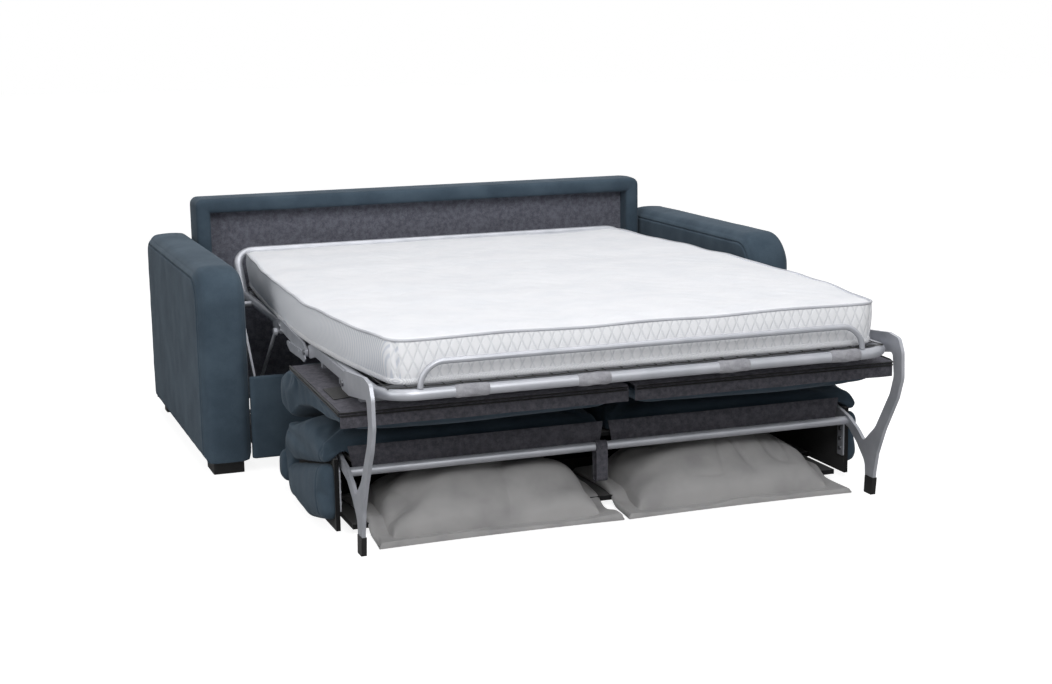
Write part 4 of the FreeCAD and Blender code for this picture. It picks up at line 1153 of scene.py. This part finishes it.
class SOFA_OT_mattress(bpy.types.Operator):
    """Makes the quilted mattress in two halves, with its tapes"""
    bl_idname = "sofa.mattress"
    bl_label = "Mattress"

    def execute(self, context):
        m = FINISHES
        low, high = mattress_form()
        halves = (("head", MATTRESS_SPLIT, high[1], ["mattress_head", "mattress_middle"], "head_section",
                   (0, 0.125, 0), (0, -0.125, 0), "middle_section"),
                  ("foot", low[1], MATTRESS_SPLIT, ["mattress_foot"], "middle_section",
                   (0, -0.222, 0), (0, -0.442, 0), "foot_section"))
        tapes = (("top", high[2] - 0.007, 1.0, ring_of(0.0040, 8), "tape"),
                 ("bottom", low[2] + 0.009, 0.0, ring_of(0.0062, 8, 1.5), "bottom_tape"))
        for name, y0, y1, nodes, first, start, end, second in halves:
            points, quads = mattress_part(low, high, y0, y1)
            piece = make_object("mattress_" + name + "_half", points, quads, None, m["ticking"], nodes)
            border_faces(piece, (m["border"], m["zigzag"]))
            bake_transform(piece)
            for edge, z, level, ring, finish in tapes:
                points, faces = swept_tube(tape_path(low, high, z, level, y0, y1), ring)
                tape = make_object("mattress_" + name + "_tape_" + edge, points, faces, None, m[finish], None)
                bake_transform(tape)
        return {"FINISHED"}


class SOFA_OT_folded_cushions(bpy.types.Operator):
    """Pads the seats, the back cushions, the side pads, the top roll and the pillows"""
    bl_idname = "sofa.folded_cushions"
    bl_label = "Cushions"

    def execute(self, context):
        m = FINISHES
        sizes = context.scene.sofa_sizes
        voxel = sizes.voxel
        soft, made = [], {}
        for node, inset, edge in (("right_seat_cushion", 0.008, voxel), ("right_back_cushion", 0.003, voxel),
                                  ("right_side_pad", -0.003, FINE_VOXEL), ("top_roll", -0.004, FINE_VOXEL)):
            obj = remeshed("soft_" + node, node, edge, inset)
            made[node] = obj
            soft.append((obj, held_points(node, mesh_points(obj.data))))
        swell(soft, sizes.plump, sizes.travel)
        for obj in made.values():
            subdivided(obj)
        for node in ("right_back_cushion", "right_side_pad"):
            mesh = made[node].data
            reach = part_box(node)[1][0] - 0.02
            points = side_seam(mesh_points(mesh), vertex_normals(mesh), BACK_SEAM_Y, reach)
            uneven = waves(points, 0.12, 61) * 0.0012
            set_points(mesh, points + vertex_normals(mesh) * uneven[:, None])
        mesh = made["right_seat_cushion"].data
        points = mesh_points(mesh)
        uneven = waves(points * [0.4, 1, 1], 0.12, 71) * 0.002
        set_points(mesh, points + vertex_normals(mesh) * uneven[:, None])
        rows = (("right_seat_cushion", "left_seat_cushion", "foot_section"),
                ("right_back_cushion", "left_back_cushion", "backrest"),
                ("right_side_pad", "left_side_pad", "backrest"), ("top_roll", None, "backrest"))
        for right, left, body in rows:
            mesh = made[right].data
            bpy.data.objects.remove(made[right])
            if left:
                other = dress(left + "_cover", mirrored_mesh(mesh), body, m["microfibre"], left)
            dress(right + "_cover", mesh, body, m["microfibre"], right)
        for side, name, seed in ((1, "right_pillow", 81), (-1, "left_pillow", 95)):
            points, quads = pillow_form(seed)
            pillow = make_object(name + "_cover", points * [side, 1, 1], quads, "pillows", m["cotton"], name)
            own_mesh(pillow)
        return {"FINISHED"}


class SOFA_OT_felt_and_net(bpy.types.Operator):
    """Covers the seat boards with felt and makes the net, the tube wraps and the pull strap"""
    bl_idname = "sofa.felt_and_net"
    bl_label = "Felt and net"

    def execute(self, context):
        m = FINISHES
        pitch = context.scene.sofa_sizes.net_pitch
        for name, body in (("head_net", "head_section"), ("middle_net", "middle_section"),
                           ("foot_net", "foot_section")):
            low, high = (np.array(v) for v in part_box(name))
            points, faces = net_wires(low, high, pitch, NET_WIRE)
            make_object(name + "_wires", points, faces, body, m["net"], name, smooth=False)
        for side, name in ((1, "right"), (-1, "left")):
            points, quads = seat_felt(side)
            make_object(name + "_seat_felt", points, quads, "foot_section", m["felt"], name + "_seat_board")
            points, faces = zip_runs(side)
            make_object(name + "_seat_zip", points, faces, "foot_section", m["zip"], None)
            points, quads = hinge_patch(side)
            make_object(name + "_hinge_patch", points, quads, "foot_section", m["lining"], None,
                        smooth=False)
            points, quads = front_felt(side)
            make_object(name + "_front_felt", points, quads, "backrest", m["felt"], None)
        low, high = (np.array(v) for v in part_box("foot_frame"))
        y = low[1] + 0.015
        z = (low[2] + high[2]) / 2
        wraps = [wrap_sleeve(x, y, z, 0.046, 0.0151, seed) for seed, x in enumerate(WRAP_PLACES)]
        points, faces = joined(wraps)
        make_object("felt_wraps", points, faces, "foot_section", m["pale_felt"], "tube_wraps")
        dress("pull_strap_felt", copy_of("pull_strap"), "foot_section", m["felt"], "pull_strap",
              smooth=False)
        return {"FINISHED"}


def lay_floor(scene):
    """A flat disc that looks white to the camera and grey to the light it throws back."""
    radius, sides, grey, glow_strength = 30.0, 96, 0.42, 0.88
    angle = np.linspace(0, 2 * math.pi, sides, endpoint=False)
    rim = np.stack([radius * np.cos(angle), radius * np.sin(angle), 0 * angle], 1)
    points = np.concatenate([[[0, 0, 0]], rim])
    mesh = bpy.data.meshes.new("floor")
    mesh.from_pydata(points.tolist(), [], [(0, 1 + i, 1 + (i + 1) % sides) for i in range(sides)])
    floor = bpy.data.objects.new("floor", mesh)
    scene.collection.objects.link(floor)
    material, nodes, links, shader = tree_of("studio_floor")
    set_inputs(shader, Base_Color=(grey, grey, grey, 1), Roughness=0.9, Specular_IOR_Level=0.1,
               Emission_Strength=glow_strength)
    seen = nodes.new("ShaderNodeLightPath").outputs["Is Camera Ray"]
    glow = mix_colour(nodes, links, seen, (0.0, 0.0, 0.0, 1.0), (1.0, 1.0, 1.0, 1.0))
    links.new(glow, shader.inputs["Emission Color"])
    mesh.materials.append(material)


def light_world(scene):
    """A world of even light that the camera, metal and gloss see as white."""
    ambient = 0.23
    world = bpy.data.worlds.new("studio")
    scene.world = world
    world.use_nodes = True
    nodes, links = world.node_tree.nodes, world.node_tree.links
    background = nodes["Background"]
    background.inputs["Color"].default_value = (1, 1, 1, 1)
    rays = nodes.new("ShaderNodeLightPath").outputs
    seen = math_node(nodes, links, "MAXIMUM", rays["Is Camera Ray"], rays["Is Glossy Ray"])
    seen = math_node(nodes, links, "MAXIMUM", seen, rays["Is Transmission Ray"])
    level = math_node(nodes, links, "MULTIPLY_ADD", seen, 1 - ambient, ambient)
    links.new(level, background.inputs["Strength"])


def hang_lamps(scene):
    """Three square area lamps aimed at the middle of the bed."""
    middle = Vector((0.0, -0.1, 0.4))
    for name, place, size, power in LAMPS:
        lamp = bpy.data.lights.new(name, "AREA")
        lamp.energy = power
        lamp.size = size
        holder = bpy.data.objects.new(name, lamp)
        scene.collection.objects.link(holder)
        holder.location = place
        holder.rotation_euler = (middle - Vector(place)).to_track_quat("-Z", "Y").to_euler()


def place_camera(scene):
    """The camera at CAMERA_PLACE. Its axes come from its yaw about the upright, its pitch over the
    level and its roll about the line of sight; its lens is the focal length over the width."""
    yaw, pitch, roll = (math.radians(v) for v in CAMERA_TURN)
    ahead = np.array([-math.sin(yaw) * math.cos(pitch), math.cos(yaw) * math.cos(pitch), math.sin(pitch)])
    level = np.array([math.cos(yaw), math.sin(yaw), 0.0])
    upright = np.cross(level, ahead)
    right = level * math.cos(roll) + upright * math.sin(roll)
    up = -level * math.sin(roll) + upright * math.cos(roll)
    camera = bpy.data.objects.new("camera", bpy.data.cameras.new("camera"))
    scene.collection.objects.link(camera)
    camera.data.sensor_width = 36.0
    camera.data.lens = 36.0 * CAMERA_FOCUS / PHOTO_WIDTH
    place = np.eye(4)
    place[:3] = np.stack([right, up, -ahead, CAMERA_PLACE], 1)
    camera.matrix_world = Matrix(place.tolist())
    scene.camera = camera


class SOFA_OT_stage(bpy.types.Operator):
    """Sets the pale floor, the soft studio light and the camera of the photograph"""
    bl_idname = "sofa.stage"
    bl_label = "Stage"

    def execute(self, context):
        scene = context.scene
        lay_floor(scene)
        light_world(scene)
        hang_lamps(scene)
        place_camera(scene)
        scene.view_settings.view_transform = "Standard"
        return {"FINISHED"}


class SOFA_PT_panel(bpy.types.Panel):
    """Lists the sofa's steps, sizes and colours"""
    bl_idname = "SOFA_PT_panel"
    bl_label = "Sleeper sofa"
    bl_space_type = "VIEW_3D"
    bl_region_type = "UI"
    bl_category = "Sofa"

    def draw(self, context):
        for holder in (context.scene.sofa_finish, context.scene.sofa_sizes):
            for name in holder.__annotations__:
                self.layout.prop(holder, name)
        for step in STEPS:
            self.layout.operator(step)


STEPS = ("sofa.finishes", "sofa.fixed_sofa", "sofa.mattress", "sofa.folded_cushions", "sofa.felt_and_net",
         "sofa.stage")
CLASSES = (SofaFinish, SofaSizes, SOFA_OT_finishes, SOFA_OT_fixed_sofa, SOFA_OT_mattress,
           SOFA_OT_folded_cushions, SOFA_OT_felt_and_net, SOFA_OT_stage, SOFA_PT_panel)


def register():
    for item in CLASSES:
        bpy.utils.register_class(item)
    bpy.types.Scene.sofa_finish = bpy.props.PointerProperty(type=SofaFinish)
    bpy.types.Scene.sofa_sizes = bpy.props.PointerProperty(type=SofaSizes)


def unregister():
    del bpy.types.Scene.sofa_sizes
    del bpy.types.Scene.sofa_finish
    for item in reversed(CLASSES):
        bpy.utils.unregister_class(item)


def main():
    """Runs each step in order."""
    register()
    for step in STEPS:
        group, name = step.split(".")
        getattr(getattr(bpy.ops, group), name)()


if __name__ == "__main__":
    main()
